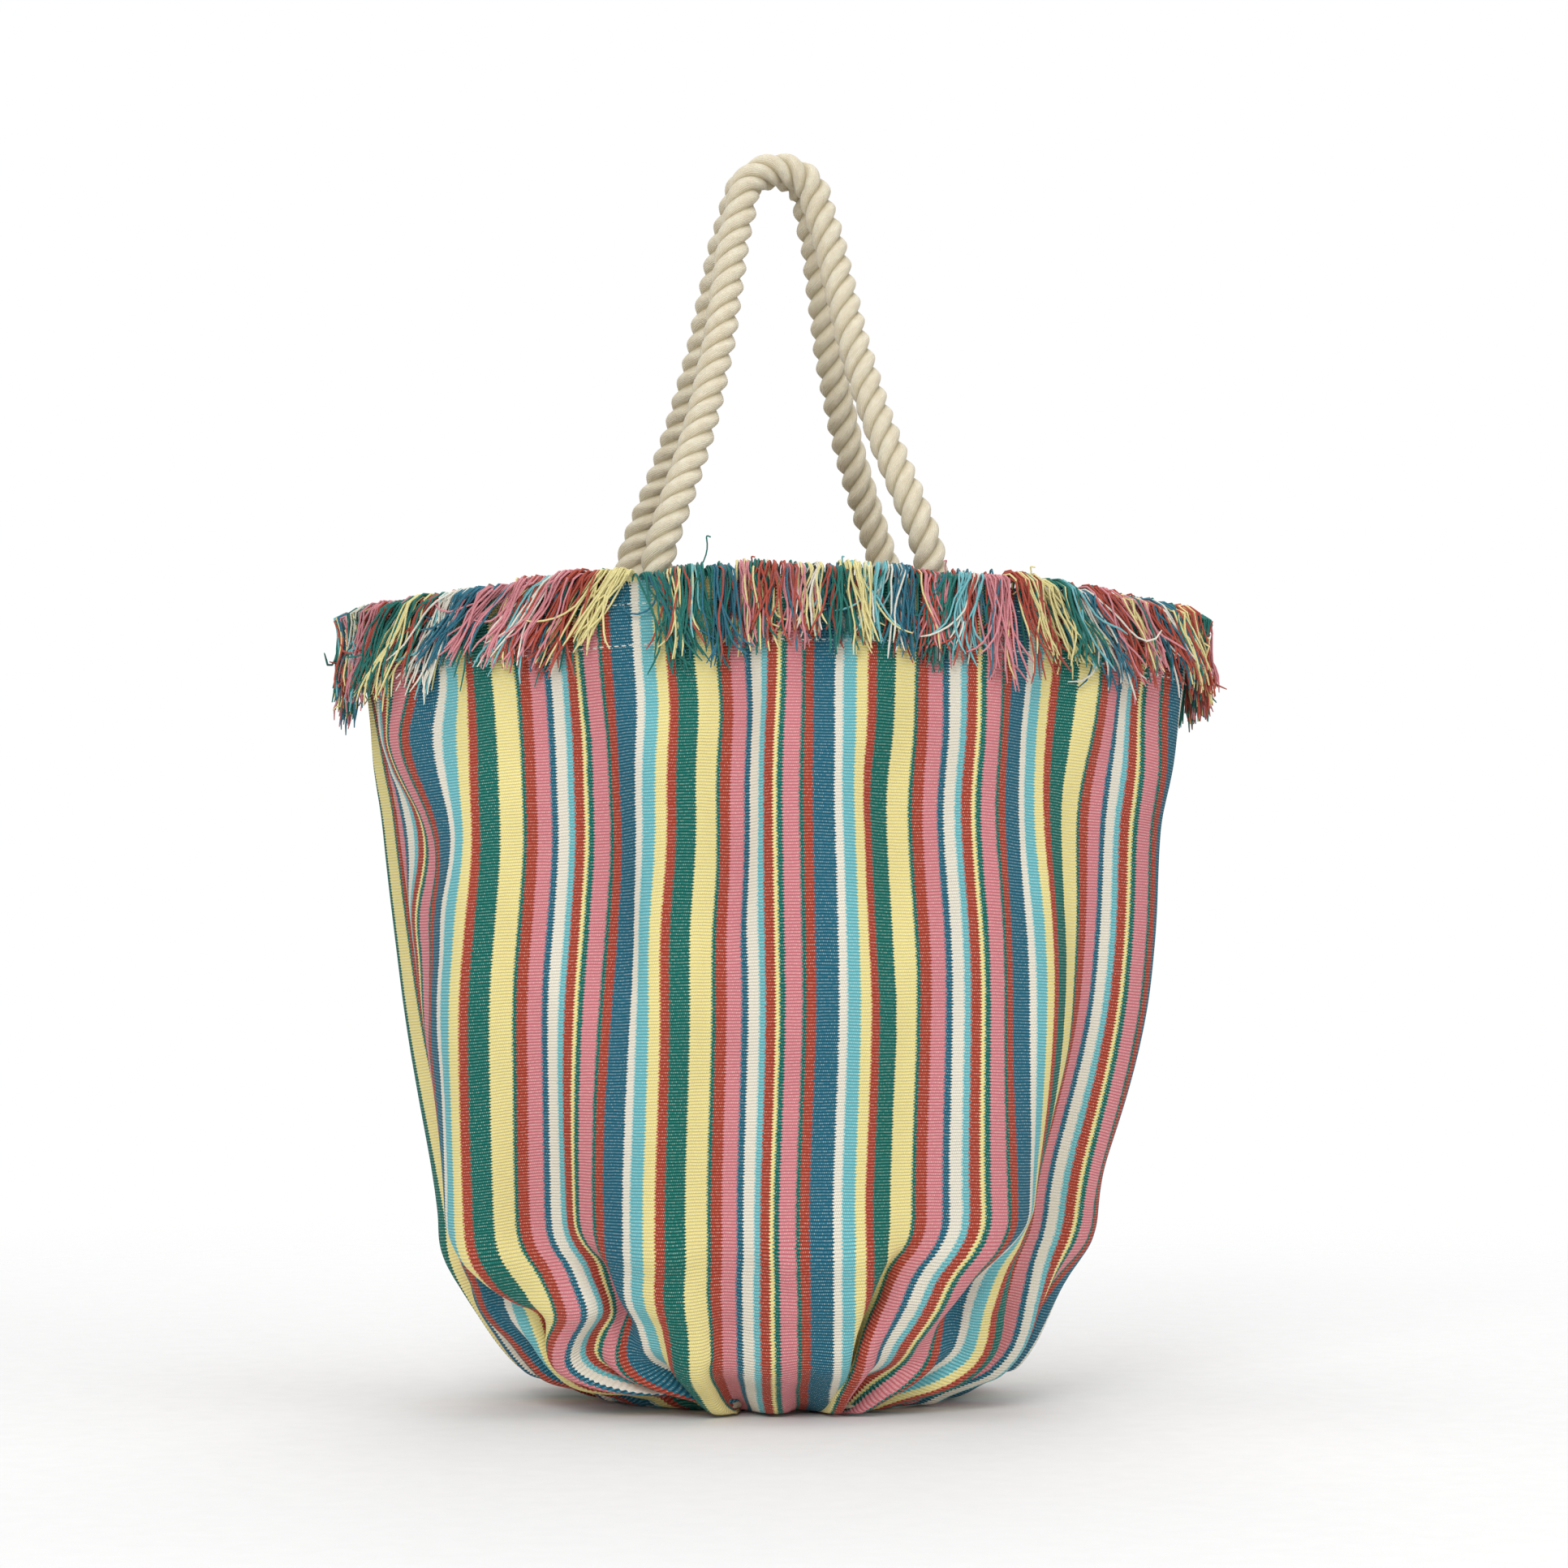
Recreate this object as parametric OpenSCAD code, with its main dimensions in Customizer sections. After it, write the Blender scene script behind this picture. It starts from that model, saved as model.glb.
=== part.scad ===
// Beach bag: a gathered cloth bucket with a fringed rim and two rope handles.
// Millimetres. X runs across the bag, +Y to its back and +Z up; the origin is
// on the floor under the middle of the base. The two handles stand as on a
// hook, leaning together over the mouth.

/* [Bag] */
// Height of the rim at the middle of the front
body_h = 488; // [380:1:600]
// Width across the rim
rim_w = 494; // [400:1:600]
// Depth across the rim
rim_d = 220; // [160:1:280]
// How far the rim droops at the two sides
rim_droop = 26; // [0:1:40]
// Width where the rounded bottom meets the wall
belly_w = 400; // [320:1:490]
// Depth where the rounded bottom meets the wall
belly_d = 270; // [200:1:330]
// Height of the rounded bottom
shoulder_h = 107; // [70:1:140]
// Width of the oval base
base_w = 200; // [150:1:260]
// Depth of the oval base
base_d = 140; // [100:1:180]

/* [Cloth] */
// Thickness of the striped outer cloth
cloth_t = 1.6; // [1:0.1:2.5]
// Thickness of the lining
lining_t = 0.8; // [0.5:0.1:1.5]
// Thickness of the hem facing
facing_t = 1.2; // [0.8:0.1:2]
// Height of the hem facing inside the rim
facing_h = 70; // [60:1:100]
// Space between two layers of cloth
layer_gap = 0.5; // [0.3:0.1:1]

/* [Handles] */
// Diameter of the rope
rope_d = 20; // [14:0.5:26]
// Distance between a handle's two legs where they leave the rim
handle_gap = 160; // [120:1:200]
// Height of the rope's centre above the rim at the top of the loop
handle_rise = 246; // [200:1:320]
// Height above the rim of the line that a handle bends about
bend_h = 36; // [30:1:46]
// Length of rope sewn into the hem
hem_rope = 50; // [35:1:50]
// Slack around the rope in the hem
rope_gap = 0.6; // [0.4:0.1:1.5]
// Space between the two loops where they hang together
hang_gap = 1; // [0.6:0.1:3]
// Length of the thread wound round each rope end
whipping_l = 12; // [8:1:20]
// Thickness of that winding
whipping_t = 0.5; // [0.3:0.1:0.5]

/* [Fringe] */
// Number of tassels on each half of the rim
tassels = 44; // [30:1:50]
// Length of a tassel below the rim
tassel_l = 46; // [30:1:60]
// Width of a tassel at its tail
tassel_d = 11; // [8:0.5:12]

/* [Stitching] */
// Depth of the upper row of topstitching below the rim
stitch_row_1 = 13; // [8:1:20]
// Depth of the lower row of topstitching below the rim
stitch_row_2 = 36; // [28:1:60]
// Length of one stitch
stitch_l = 5; // [3:0.5:7]
// Thickness of the sewing thread
thread_d = 0.7; // [0.4:0.1:1]
// Number of stitches in a row, round one half of the rim
stitches = 54; // [30:1:70]

/* [Hidden] */

// Directions round the rim: the back half runs from +X to -X, the front half back
BACK = 0;
FRONT = 180;
half_columns = 48;

// Heights of the rows of the walls, as shares of the height of the rim
shoulder = shoulder_h / body_h;
bottom_rows = shoulder * [0, 0.01, 0.035, 0.09, 0.18, 0.32, 0.5, 0.73, 1];
facing_foot = below_rim(facing_h);
function below_rim(depth) = 1 - depth / body_h;
wall_rows = [0.4, 0.6, 0.8, below_rim(stitch_row_2), below_rim(stitch_row_1), 1];
lining_rows = [0.4, 0.6, 0.75, facing_foot];
facing_rise = [0, 0.2, 0.6, 1];

// Roundness of the bottom's profile
shoulder_power = 1.6;

// Depths inside the outer face of the wall
lining_in = cloth_t + layer_gap;
rope_r = rope_d / 2;
rope_in = cloth_t + rope_gap + rope_r;
pocket_in = cloth_t + rope_d + 2 * rope_gap;

// The pocket over a rope end: half of its flat width, and the slope beside it
pocket_flat = rope_r + 16;
pocket_slope = 24;

// Place of the handles' legs in the rim
leg_x = handle_gap / 2;
rim_share = 2 * leg_x / rim_w;
leg_wall_y = rim_d / 2 * sqrt(1 - rim_share * rim_share);
leg_normal = [leg_x / pow(rim_w / 2, 2), leg_wall_y / pow(rim_d / 2, 2)];
leg_y = leg_wall_y - rope_in * norm(leg_normal) / leg_normal[1];
hem_top = body_h - 4;
bend_y = leg_y - rope_r - hang_gap / 2;
lean = bend_y / (handle_rise - bend_h);
bend_soft = 20;

// Half of a handle's route, as [distance from the middle, height above the rim],
// for a handle 160 wide that rises 246
nominal_gap = 160;
nominal_rise = 246;
handle_route = [
    [80, -4], [80, 4], [78.5, 14], [75, 26], [71, 37], [67, 48], [60.5, 66], [54, 85],
    [48.5, 104], [43.5, 124], [39, 143], [35.5, 163], [32, 182], [28.5, 202],
    [25.5, 213], [23, 223], [20, 234.5], [11.5, 243], [0, 246]
];
// The point at which the part that only bends meets the loop that swings
bend_last = 5;
// A hair's breadth between the two, so that they touch without overlapping
loop_gap = 0.03;
rope_sides = 12;
whipping_up = 3;

// A tassel's route, as [distance out from the wall, height above the rim, radius]
tassel_top = [
    [-0.8, 0.2, 1], [-0.3, 4, 1.5], [2, 8, 2.2], [6, 9.5, 3], [9.5, 6, 4], [10.3, -2, 4.8]
];
// The same where a handle bends down over it
flat_top = [
    [-0.8, 0.2, 1], [-0.6, 2.5, 1.1], [0.8, 4.6, 1.4], [3, 4.4, 1.8], [4.6, 1, 2.3],
    [5, -6, 2.7]
];
flat_tassel_r = 3;
flat_reach = 28;
tassel_sides = 6;
thread_out = 0.1;

function ease(s) = let (c = min(1, max(0, s))) c * c * (3 - 2 * c);
function unit(v) = v / norm(v);

// How far the rounded bottom has opened, from 0 at the base to 1 at the wall
function opened(t) = t >= shoulder ? 1
    : pow(1 - pow(1 - t / shoulder, shoulder_power), 1 / shoulder_power);
function flare(t) = max(0, (t - shoulder) / (1 - shoulder));
function half_w(t) = (base_w + (belly_w - base_w) * opened(t)
    + (rim_w - belly_w) * flare(t)) / 2;
function half_d(t) = (base_d + (belly_d - base_d) * opened(t)
    + (rim_d - belly_d) * ease(flare(t))) / 2;
function exact_sin(a) = a % 180 == 0 ? 0 : sin(a);
function wall_z(t, a) = t * body_h - rim_droop * t * t * pow(cos(a), 2);
function wall(t, a) = [half_w(t) * cos(a), half_d(t) * exact_sin(a), wall_z(t, a)];

// The wall's outward direction, straight down at the edge of the base
step_a = 0.5;
step_t = 0.002;
function flat_y(v, a) = a % 180 == 0 ? [v[0], 0, v[2]] : v;
function outward(t, a) = t == 0 ? [0, 0, -1]
    : let (
        round_way = wall(t, a + step_a) - wall(t, a - step_a),
        up_way = wall(t + step_t, a) - wall(max(0, t - step_t), a)
    ) unit(flat_y(cross(round_way, up_way), a));
function layer(t, a, inset) = wall(t, a) - inset * outward(t, a);

function half_angles(start) = [for (i = [0:half_columns]) start + 180 * i / half_columns];

// A sheet between two grids of points: rows go up, columns go round
module sheet(outer, inner) {
    rows = len(outer);
    columns = len(outer[0]);
    behind = rows * columns;
    function at(i, j) = i * columns + j;
    function quad(a, b, c, d) = [[a, b, c], [a, c, d]];
    points = [each [for (row = outer) each row], each [for (row = inner) each row]];
    faces = [
        for (i = [0:rows - 2]) for (j = [0:columns - 2]) each [
            each quad(at(i, j), at(i + 1, j), at(i + 1, j + 1), at(i, j + 1)),
            each quad(behind + at(i, j), behind + at(i, j + 1),
                behind + at(i + 1, j + 1), behind + at(i + 1, j))
        ],
        for (j = [0:columns - 2]) each [
            each quad(at(0, j), at(0, j + 1), behind + at(0, j + 1), behind + at(0, j)),
            each quad(at(rows - 1, j), behind + at(rows - 1, j),
                behind + at(rows - 1, j + 1), at(rows - 1, j + 1))
        ],
        for (i = [0:rows - 2]) each [
            each quad(at(i, 0), behind + at(i, 0),
                behind + at(i + 1, 0), at(i + 1, 0)),
            each quad(at(i, columns - 1), at(i + 1, columns - 1),
                behind + at(i + 1, columns - 1), behind + at(i, columns - 1))
        ]
    ];
    polyhedron(points, faces, convexity = 6);
}

// Half of the bag's wall as one layer of cloth
module half_wall(start, rows, inset, thick) {
    angles = half_angles(start);
    sheet(
        [for (t = rows) [for (a = angles) layer(t, a, inset)]],
        [for (t = rows) [for (a = angles) layer(t, a, inset + thick)]]
    );
}

module oval(z, thick) {
    translate([0, 0, z])
        linear_extrude(thick)
            polygon([
                for (start = [BACK, FRONT]) for (i = [0:half_columns - 1])
                    let (a = start + 180 * i / half_columns)
                        [base_w / 2 * cos(a), base_d / 2 * exact_sin(a)]
            ]);
}

module panel(start) {
    half_wall(start, concat(bottom_rows, wall_rows), 0, cloth_t);
}

module lining(start) {
    half_wall(start, concat(bottom_rows, lining_rows), lining_in, lining_t);
}

// How far the facing stands in over the rope ends, from 0 to 1
function pocket(a, rise) = rise == 0 ? 0
    : ease((pocket_flat + pocket_slope - abs(abs(half_w(1) * cos(a)) - leg_x))
        / pocket_slope);

module facing(start) {
    angles = half_angles(start);
    function row(rise) = facing_foot + (1 - facing_foot) * rise;
    // The wall spreads below the rim, and the rope stands straight
    function depth(a, rise) = lining_in
        + (pocket_in - lining_in + half_d(row(rise)) - half_d(1)) * pocket(a, rise);
    sheet(
        [for (rise = facing_rise) [for (a = angles) layer(row(rise), a, depth(a, rise))]],
        [for (rise = facing_rise)
            [for (a = angles) layer(row(rise), a, depth(a, rise) + facing_t)]]
    );
}

// A tube along a route; across is a direction that the route never runs along
function heading(route, i) =
    unit(route[min(i + 1, len(route) - 1)] - route[max(i - 1, 0)]);
module tube(route, radii, across, sides, first = 0, last = undef, trim = 0) {
    end = is_undef(last) ? len(route) - 1 : last;
    rings = end - first + 1;
    function ring(i) = let (
        ahead = heading(route, i),
        side = unit(cross(ahead, across)),
        up = cross(side, ahead),
        middle = route[i] + ahead * (i == first ? trim : i == end ? -trim : 0)
    ) [for (k = [0:sides - 1])
        middle + radii[i] * (cos(360 * k / sides) * up + sin(360 * k / sides) * side)];
    function at(i, k) = i * sides + k % sides;
    faces = [
        [for (k = [0:sides - 1]) at(0, k)],
        for (i = [0:rings - 2]) for (k = [0:sides - 1]) each [
            [at(i, k), at(i + 1, k), at(i + 1, k + 1)],
            [at(i, k), at(i + 1, k + 1), at(i, k + 1)]
        ],
        [for (k = [sides - 1:-1:0]) at(rings - 1, k)]
    ];
    polyhedron([for (i = [first:end]) each ring(i)], faces, convexity = 8);
}

// A handle's route in space; front is -1 and back is +1
function leg_depth(rise) =
    let (h = rise - bend_h)
    leg_y - lean * (h <= -bend_soft ? 0
        : h >= bend_soft ? h
        : pow(h + bend_soft, 2) / (4 * bend_soft));
function placed(point, side, face) =
    let (rise = point[1] > 0 ? point[1] * handle_rise / nominal_rise : point[1])
    [
        side * point[0] * handle_gap / nominal_gap,
        face * leg_depth(rise),
        body_h + rise
    ];
function whole_route(face) = concat(
    [for (p = handle_route) placed(p, -1, face)],
    [for (i = [len(handle_route) - 2:-1:0]) placed(handle_route[i], 1, face)]
);
route_end = 2 * len(handle_route) - 2;

// A stretch of a handle between two of its route's points
module rope_run(face, first, last, trim = 0) {
    route = whole_route(face);
    radii = [for (p = route) rope_r];
    tube(route, radii, unit([0, face, lean]), rope_sides, first, last, trim);
}

module handle(face) {
    rope_run(face, bend_last, route_end - bend_last, loop_gap);
}

module rope_bend(face) {
    rope_run(face, 0, bend_last);
    rope_run(face, route_end - bend_last, route_end);
}

module at_legs(face) {
    for (side = [-1, 1])
        translate([side * leg_x, face * leg_y, 0])
            children();
}

// The winding pulls the rope in by its own thickness, so it adds nothing to the width
module whipping() {
    translate([0, 0, hem_top - hem_rope + whipping_up])
        difference() {
            cylinder(h = whipping_l, r = rope_r, $fn = 48);
            translate([0, 0, -1])
                cylinder(h = whipping_l + 2, r = rope_r - whipping_t, $fn = 48);
        }
}

module rope_end() {
    difference() {
        translate([0, 0, hem_top - hem_rope])
            cylinder(h = hem_rope, r = rope_r, $fn = 48);
        whipping();
    }
}

// Equal steps along the rim: [length so far, angle]
rim_step = 2;
rim_steps = 180 / rim_step;
rim_lengths = [
    for (i = 0, s = 0; i <= rim_steps;
        s = s + norm(wall(1, rim_step * (i + 1)) - wall(1, rim_step * i)), i = i + 1)
        [s, rim_step * i]
];
rim_length = rim_lengths[rim_steps][0];
function rim_angle(share) = lookup(share * rim_length, rim_lengths);

// A point out from the wall and above or below the rim
function rim_point(a, out, rise) =
    let (
        t = min(1, 1 + rise / body_h),
        way = unit([outward(1, a)[0], outward(1, a)[1], 0])
    ) wall(t, a) + out * way + [0, 0, max(0, rise)];

module tassel(a) {
    near_leg = abs(abs(half_w(1) * cos(a)) - leg_x) < flat_reach;
    tail_r = near_leg ? flat_tassel_r : tassel_d / 2;
    top = near_leg ? flat_top : tassel_top;
    tail_out = top[len(top) - 1][0];
    steps = concat(top, [
        [tail_out, -tassel_l / 2, tail_r],
        [tail_out - 0.5, -tassel_l, tail_r * 0.85]
    ]);
    route = [for (s = steps) rim_point(a, s[0], s[1])];
    way = outward(1, a);
    tube(route, [for (s = steps) s[2]], unit([-way[1], way[0], 0]), tassel_sides);
}

module fringe(start) {
    for (i = [0:tassels - 1])
        tassel(start + rim_angle((i + 0.5) / tassels));
}

// One row of topstitching, lying on the outer face of both panels
module stitch_row(depth) {
    t = below_rim(depth);
    for (start = [BACK, FRONT]) for (i = [0:stitches - 1]) {
        a = start + rim_angle((i + 0.5) / stitches);
        way = outward(t, a);
        translate(wall(t, a) + (thread_d / 2 + thread_out) * way)
            rotate([0, 0, atan2(way[1], way[0]) + 90])
                cube([stitch_l, thread_d, thread_d], center = true);
    }
}

module front_panel() { color("steelblue") panel(FRONT); }
module back_panel() { color("steelblue") panel(BACK); }
module base_panel() { color("seagreen") oval(0, cloth_t); }
module facing_front() { color("lightblue") facing(FRONT); }
module facing_back() { color("lightblue") facing(BACK); }
module lining_front() { color("wheat") lining(FRONT); }
module lining_back() { color("wheat") lining(BACK); }
module lining_base() { color("wheat") oval(lining_in, lining_t); }
module fringe_front() { color("indianred") fringe(FRONT); }
module fringe_back() { color("indianred") fringe(BACK); }
module topstitch_upper() { color("white") stitch_row(stitch_row_1); }
module topstitch_lower() { color("white") stitch_row(stitch_row_2); }
module handle_front() { color("antiquewhite") handle(-1); }
module handle_back() { color("antiquewhite") handle(1); }
module rope_bend_front() { color("antiquewhite") rope_bend(-1); }
module rope_bend_back() { color("antiquewhite") rope_bend(1); }
module rope_ends_front() { color("antiquewhite") at_legs(-1) rope_end(); }
module rope_ends_back() { color("antiquewhite") at_legs(1) rope_end(); }
module rope_whippings_front() { color("burlywood") at_legs(-1) whipping(); }
module rope_whippings_back() { color("burlywood") at_legs(1) whipping(); }

front_panel();
back_panel();
base_panel();
facing_front();
facing_back();
lining_front();
lining_back();
lining_base();
fringe_front();
fringe_back();
topstitch_upper();
topstitch_lower();
handle_front();
handle_back();
rope_bend_front();
rope_bend_back();
rope_ends_front();
rope_ends_back();
rope_whippings_front();
rope_whippings_back();
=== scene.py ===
"""Beach bag of striped ribbed cotton with a yarn fringe and two rope handles."""
import math
import random

import bmesh
import bpy
import numpy as np
from bpy.props import FloatProperty, FloatVectorProperty, IntProperty, PointerProperty
from mathutils import Matrix, Vector
from mathutils.bvhtree import BVHTree


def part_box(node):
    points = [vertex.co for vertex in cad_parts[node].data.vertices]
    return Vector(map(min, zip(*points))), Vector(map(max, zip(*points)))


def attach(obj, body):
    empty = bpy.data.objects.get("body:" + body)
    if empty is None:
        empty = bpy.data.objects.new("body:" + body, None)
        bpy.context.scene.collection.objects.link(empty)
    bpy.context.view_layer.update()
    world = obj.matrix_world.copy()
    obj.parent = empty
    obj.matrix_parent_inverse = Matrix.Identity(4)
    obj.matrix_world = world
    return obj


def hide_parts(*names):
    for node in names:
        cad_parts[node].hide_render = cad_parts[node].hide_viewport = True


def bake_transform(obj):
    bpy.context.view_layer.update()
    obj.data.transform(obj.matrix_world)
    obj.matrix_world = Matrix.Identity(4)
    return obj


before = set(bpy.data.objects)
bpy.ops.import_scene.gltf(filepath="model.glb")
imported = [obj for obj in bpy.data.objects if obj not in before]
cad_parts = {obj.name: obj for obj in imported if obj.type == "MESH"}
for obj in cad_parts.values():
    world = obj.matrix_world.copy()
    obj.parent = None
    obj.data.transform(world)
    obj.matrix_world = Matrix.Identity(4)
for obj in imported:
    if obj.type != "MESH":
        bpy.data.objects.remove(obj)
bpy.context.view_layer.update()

bl_info = {
    "name": "Striped Beach Bag",
    "version": (1, 0, 0),
    "blender": (4, 5, 0),
    "location": "View3D > Sidebar > Beach Bag",
    "description": "Builds a gathered cloth beach bag with a fringe and rope handles",
    "category": "Add Mesh",
}

# ---------------------------------------------------------------- the bag's form

BODY_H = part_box("front_panel")[1].z
RIM_W = 2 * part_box("front_panel")[1].x
BELLY_D = 2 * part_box("back_panel")[1].y
RIM_D, BELLY_W = 0.220, 0.400  # depth at the rim, width at the belly
BASE_W, BASE_D = 0.200, 0.140
SHOULDER = 0.107 / BODY_H  # share of the height that the rounded bottom takes
RIM_DROOP = 0.026  # how far the rim drops at the sides
FULLNESS = 0.012  # how far the filled cloth stands out at the front and back
LOW_CORNERS = (0.013, 0.028)  # how far the bottom corners are drawn in, left and right
SLIMMER = (0.0055, 0.0150)  # how far the sides are drawn in above the corners, left and right
PROUD_Y = 0.1515  # the furthest that a fold may stand out, front or back
PROUD_EASE = 0.008  # how softly a fold meets that limit
ROUNDNESS = 1.6  # of the bottom: 1 is a cone, 2 is a round bowl
LOWEST, LINING_LOWEST = 0.0014, 0.0030  # the cloth and its lining stay above these heights
FRONT, BACK = 0.0, math.pi
SIDES = ((FRONT, "front"), (BACK, "back"))

PANEL_W = 0.592  # flat width of one panel, sewn at the two sides
COLUMNS, ROWS = 120, 92  # faces of a panel across and up
HEM = 0.040  # the folded, stitched part under the rim
FACING_H = 0.070  # height of the facing that closes the hem
SETTLE_FRAMES, SETTLE_LIMIT = 24, 0.012  # how long the cloth settles, and how far at most
# places of the front's long hollows, across the flat cloth
LEFT_VALLEY, RIGHT_VALLEY, SMALL_VALLEY, CORNER_VALLEY = -0.116, 0.134, -0.033, -0.246
LOW_CREASES = (  # place across the front's bottom, strength
    (-0.098, 1.5), (0.052, 1.9), (0.108, 1.3), (-0.170, 1.1))
STRIPE_START = {FRONT: 0.0098, BACK: -0.0110}  # where a run of stripes starts
BASE_STRIPE_START = 0.0257

LEG_X, LEG_Y = 0.080, 0.0917  # where the rope's legs leave the hem
HEM_TOP = BODY_H - 0.004
HEM_ROPE = 0.050  # length of rope inside the hem
ROPE_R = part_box("rope_ends_front")[1].x - LEG_X
LOOP_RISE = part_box("handle_front")[1].z - ROPE_R - BODY_H
BEND_H = 0.036  # height of the hinge line above the rim
POCKET = 0.0222  # how far the facing stands off the panel over a rope end
# how much each loop leans inwards, so that the two touch at the top
LEAN = (LEG_Y - ROPE_R - 0.0005) / (LOOP_RISE - BEND_H)
HANDLE_ROUTE = (  # half of a handle: distance from the middle, height above the rim
    (0.080, -0.004), (0.080, 0.004), (0.0785, 0.014), (0.075, 0.026), (0.071, 0.037),
    (0.067, 0.048), (0.0605, 0.066), (0.054, 0.085), (0.0485, 0.104), (0.0435, 0.124),
    (0.039, 0.143), (0.0355, 0.163), (0.032, 0.182), (0.0285, 0.202), (0.0255, 0.213),
    (0.023, 0.223), (0.020, 0.2345), (0.0115, 0.243), (0.0, 0.246),
)
STRIPES = (  # one repeat of the warp: colour and share of the width
    ("blue", 26), ("white", 10), ("sky", 16), ("yellow", 13), ("red", 11), ("green", 24),
    ("yellow", 27), ("green", 5), ("red", 13), ("pink", 18), ("blue", 8), ("white", 14),
    ("sky", 7), ("red", 12), ("yellow", 5), ("green", 7), ("pink", 20), ("green", 5),
    ("red", 11),
)
DYES = {
    "blue": (0.018, 0.172, 0.255),
    "green": (0.003, 0.185, 0.150),
    "red": (0.480, 0.072, 0.039),
    "pink": (0.740, 0.285, 0.315),
    "yellow": (0.910, 0.810, 0.370),
    "sky": (0.195, 0.570, 0.615),
    "white": (0.870, 0.830, 0.720),
}


def ease(x):
    """A smooth step from 0 to 1."""
    x = np.clip(x, 0.0, 1.0)
    return x * x * (3 - 2 * x)


def window(x, start, rise, end, fall):
    """From 0 up to 1 over the rise after start, and back to 0 over the fall after end."""
    return ease((x - start) / rise) * (1 - ease((x - end) / fall))


def lengths_along(points):
    """Distance along a line from its start to each of its points."""
    return np.concatenate([[0], np.cumsum(np.linalg.norm(np.diff(points, axis=0), axis=1))])


def summed(slope, step):
    """Running sum of a slope that is known at even steps."""
    return np.concatenate([[0], np.cumsum((slope[1:] + slope[:-1]) / 2)]) * step


def opened(t):
    """How far the rounded bottom has opened at a height share."""
    share = np.clip(t / SHOULDER, 0.0, 1.0)
    return (1 - (1 - share) ** ROUNDNESS) ** (1 / ROUNDNESS)


def ring_point(t, theta):
    """A point of the smooth form: t is the height share, theta runs from the front's middle."""
    flare = np.clip((t - SHOULDER) / (1 - SHOULDER), 0.0, 1.0)
    half_w = (BASE_W + (BELLY_W - BASE_W) * opened(t) + (RIM_W - BELLY_W) * flare) / 2
    half_d = (BASE_D + (BELLY_D - BASE_D) * opened(t) + (RIM_D - BELLY_D) * ease(flare)) / 2
    half_d = half_d + FULLNESS * window(t, 0, 0.25, 0.45, 0.45)
    z = t * BODY_H - RIM_DROOP * t * t * np.sin(theta) ** 2
    x = half_w * np.sin(theta)
    low = window(z, 0, 0.024, 0.08, 0.17)
    middle = window(z, 0, 0.15, 0.34, 0.10)
    drawn = LOW_CORNERS[1] * ease((x - 0.07) / 0.13) * low \
        - LOW_CORNERS[0] * ease((-x - 0.07) / 0.13) * low
    drawn = drawn + np.where(x > 0, SLIMMER[1], SLIMMER[0]) * middle * x / (RIM_W / 2)
    return np.stack([x - drawn, -half_d * np.cos(theta), z], axis=-1)


SHARES = np.concatenate([
    SHOULDER * np.linspace(0, 1, 180) ** 2.2, np.linspace(SHOULDER, 1, 160)[1:]])
MERIDIANS = np.mean([lengths_along(ring_point(SHARES, np.full_like(SHARES, a)))
                     for a in np.linspace(0, math.pi / 2, 7)], axis=0)
PANEL_H = float(MERIDIANS[-1])
LOW_ROWS, LOW_H = 37, 0.13
ROW_PLACES = np.concatenate([  # rows of a panel, closer together where it is gathered
    np.linspace(0, LOW_H, LOW_ROWS), np.linspace(LOW_H, PANEL_H, ROWS - LOW_ROWS + 2)[1:]])


def share_at(v):
    """Height share of the row that lies v along the cloth from the base seam."""
    return np.interp(v, MERIDIANS, SHARES)


def random_phase(rng, folds, s, spread=0.35):
    """A phase that turns once for each fold, with folds of unequal widths."""
    widths = np.array([1 + rng.uniform(-spread, spread) for _ in range(folds)])
    edges = np.concatenate([[0], np.cumsum(widths)]) / widths.sum() * PANEL_W - PANEL_W / 2
    return np.interp(s, edges, 2 * math.pi * np.arange(folds + 1))


def valley(s, at, width):
    """Slope of a hollow that is centred at a place across the cloth."""
    x = (s - at) / width
    return x * np.exp(-0.5 * x * x)


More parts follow.
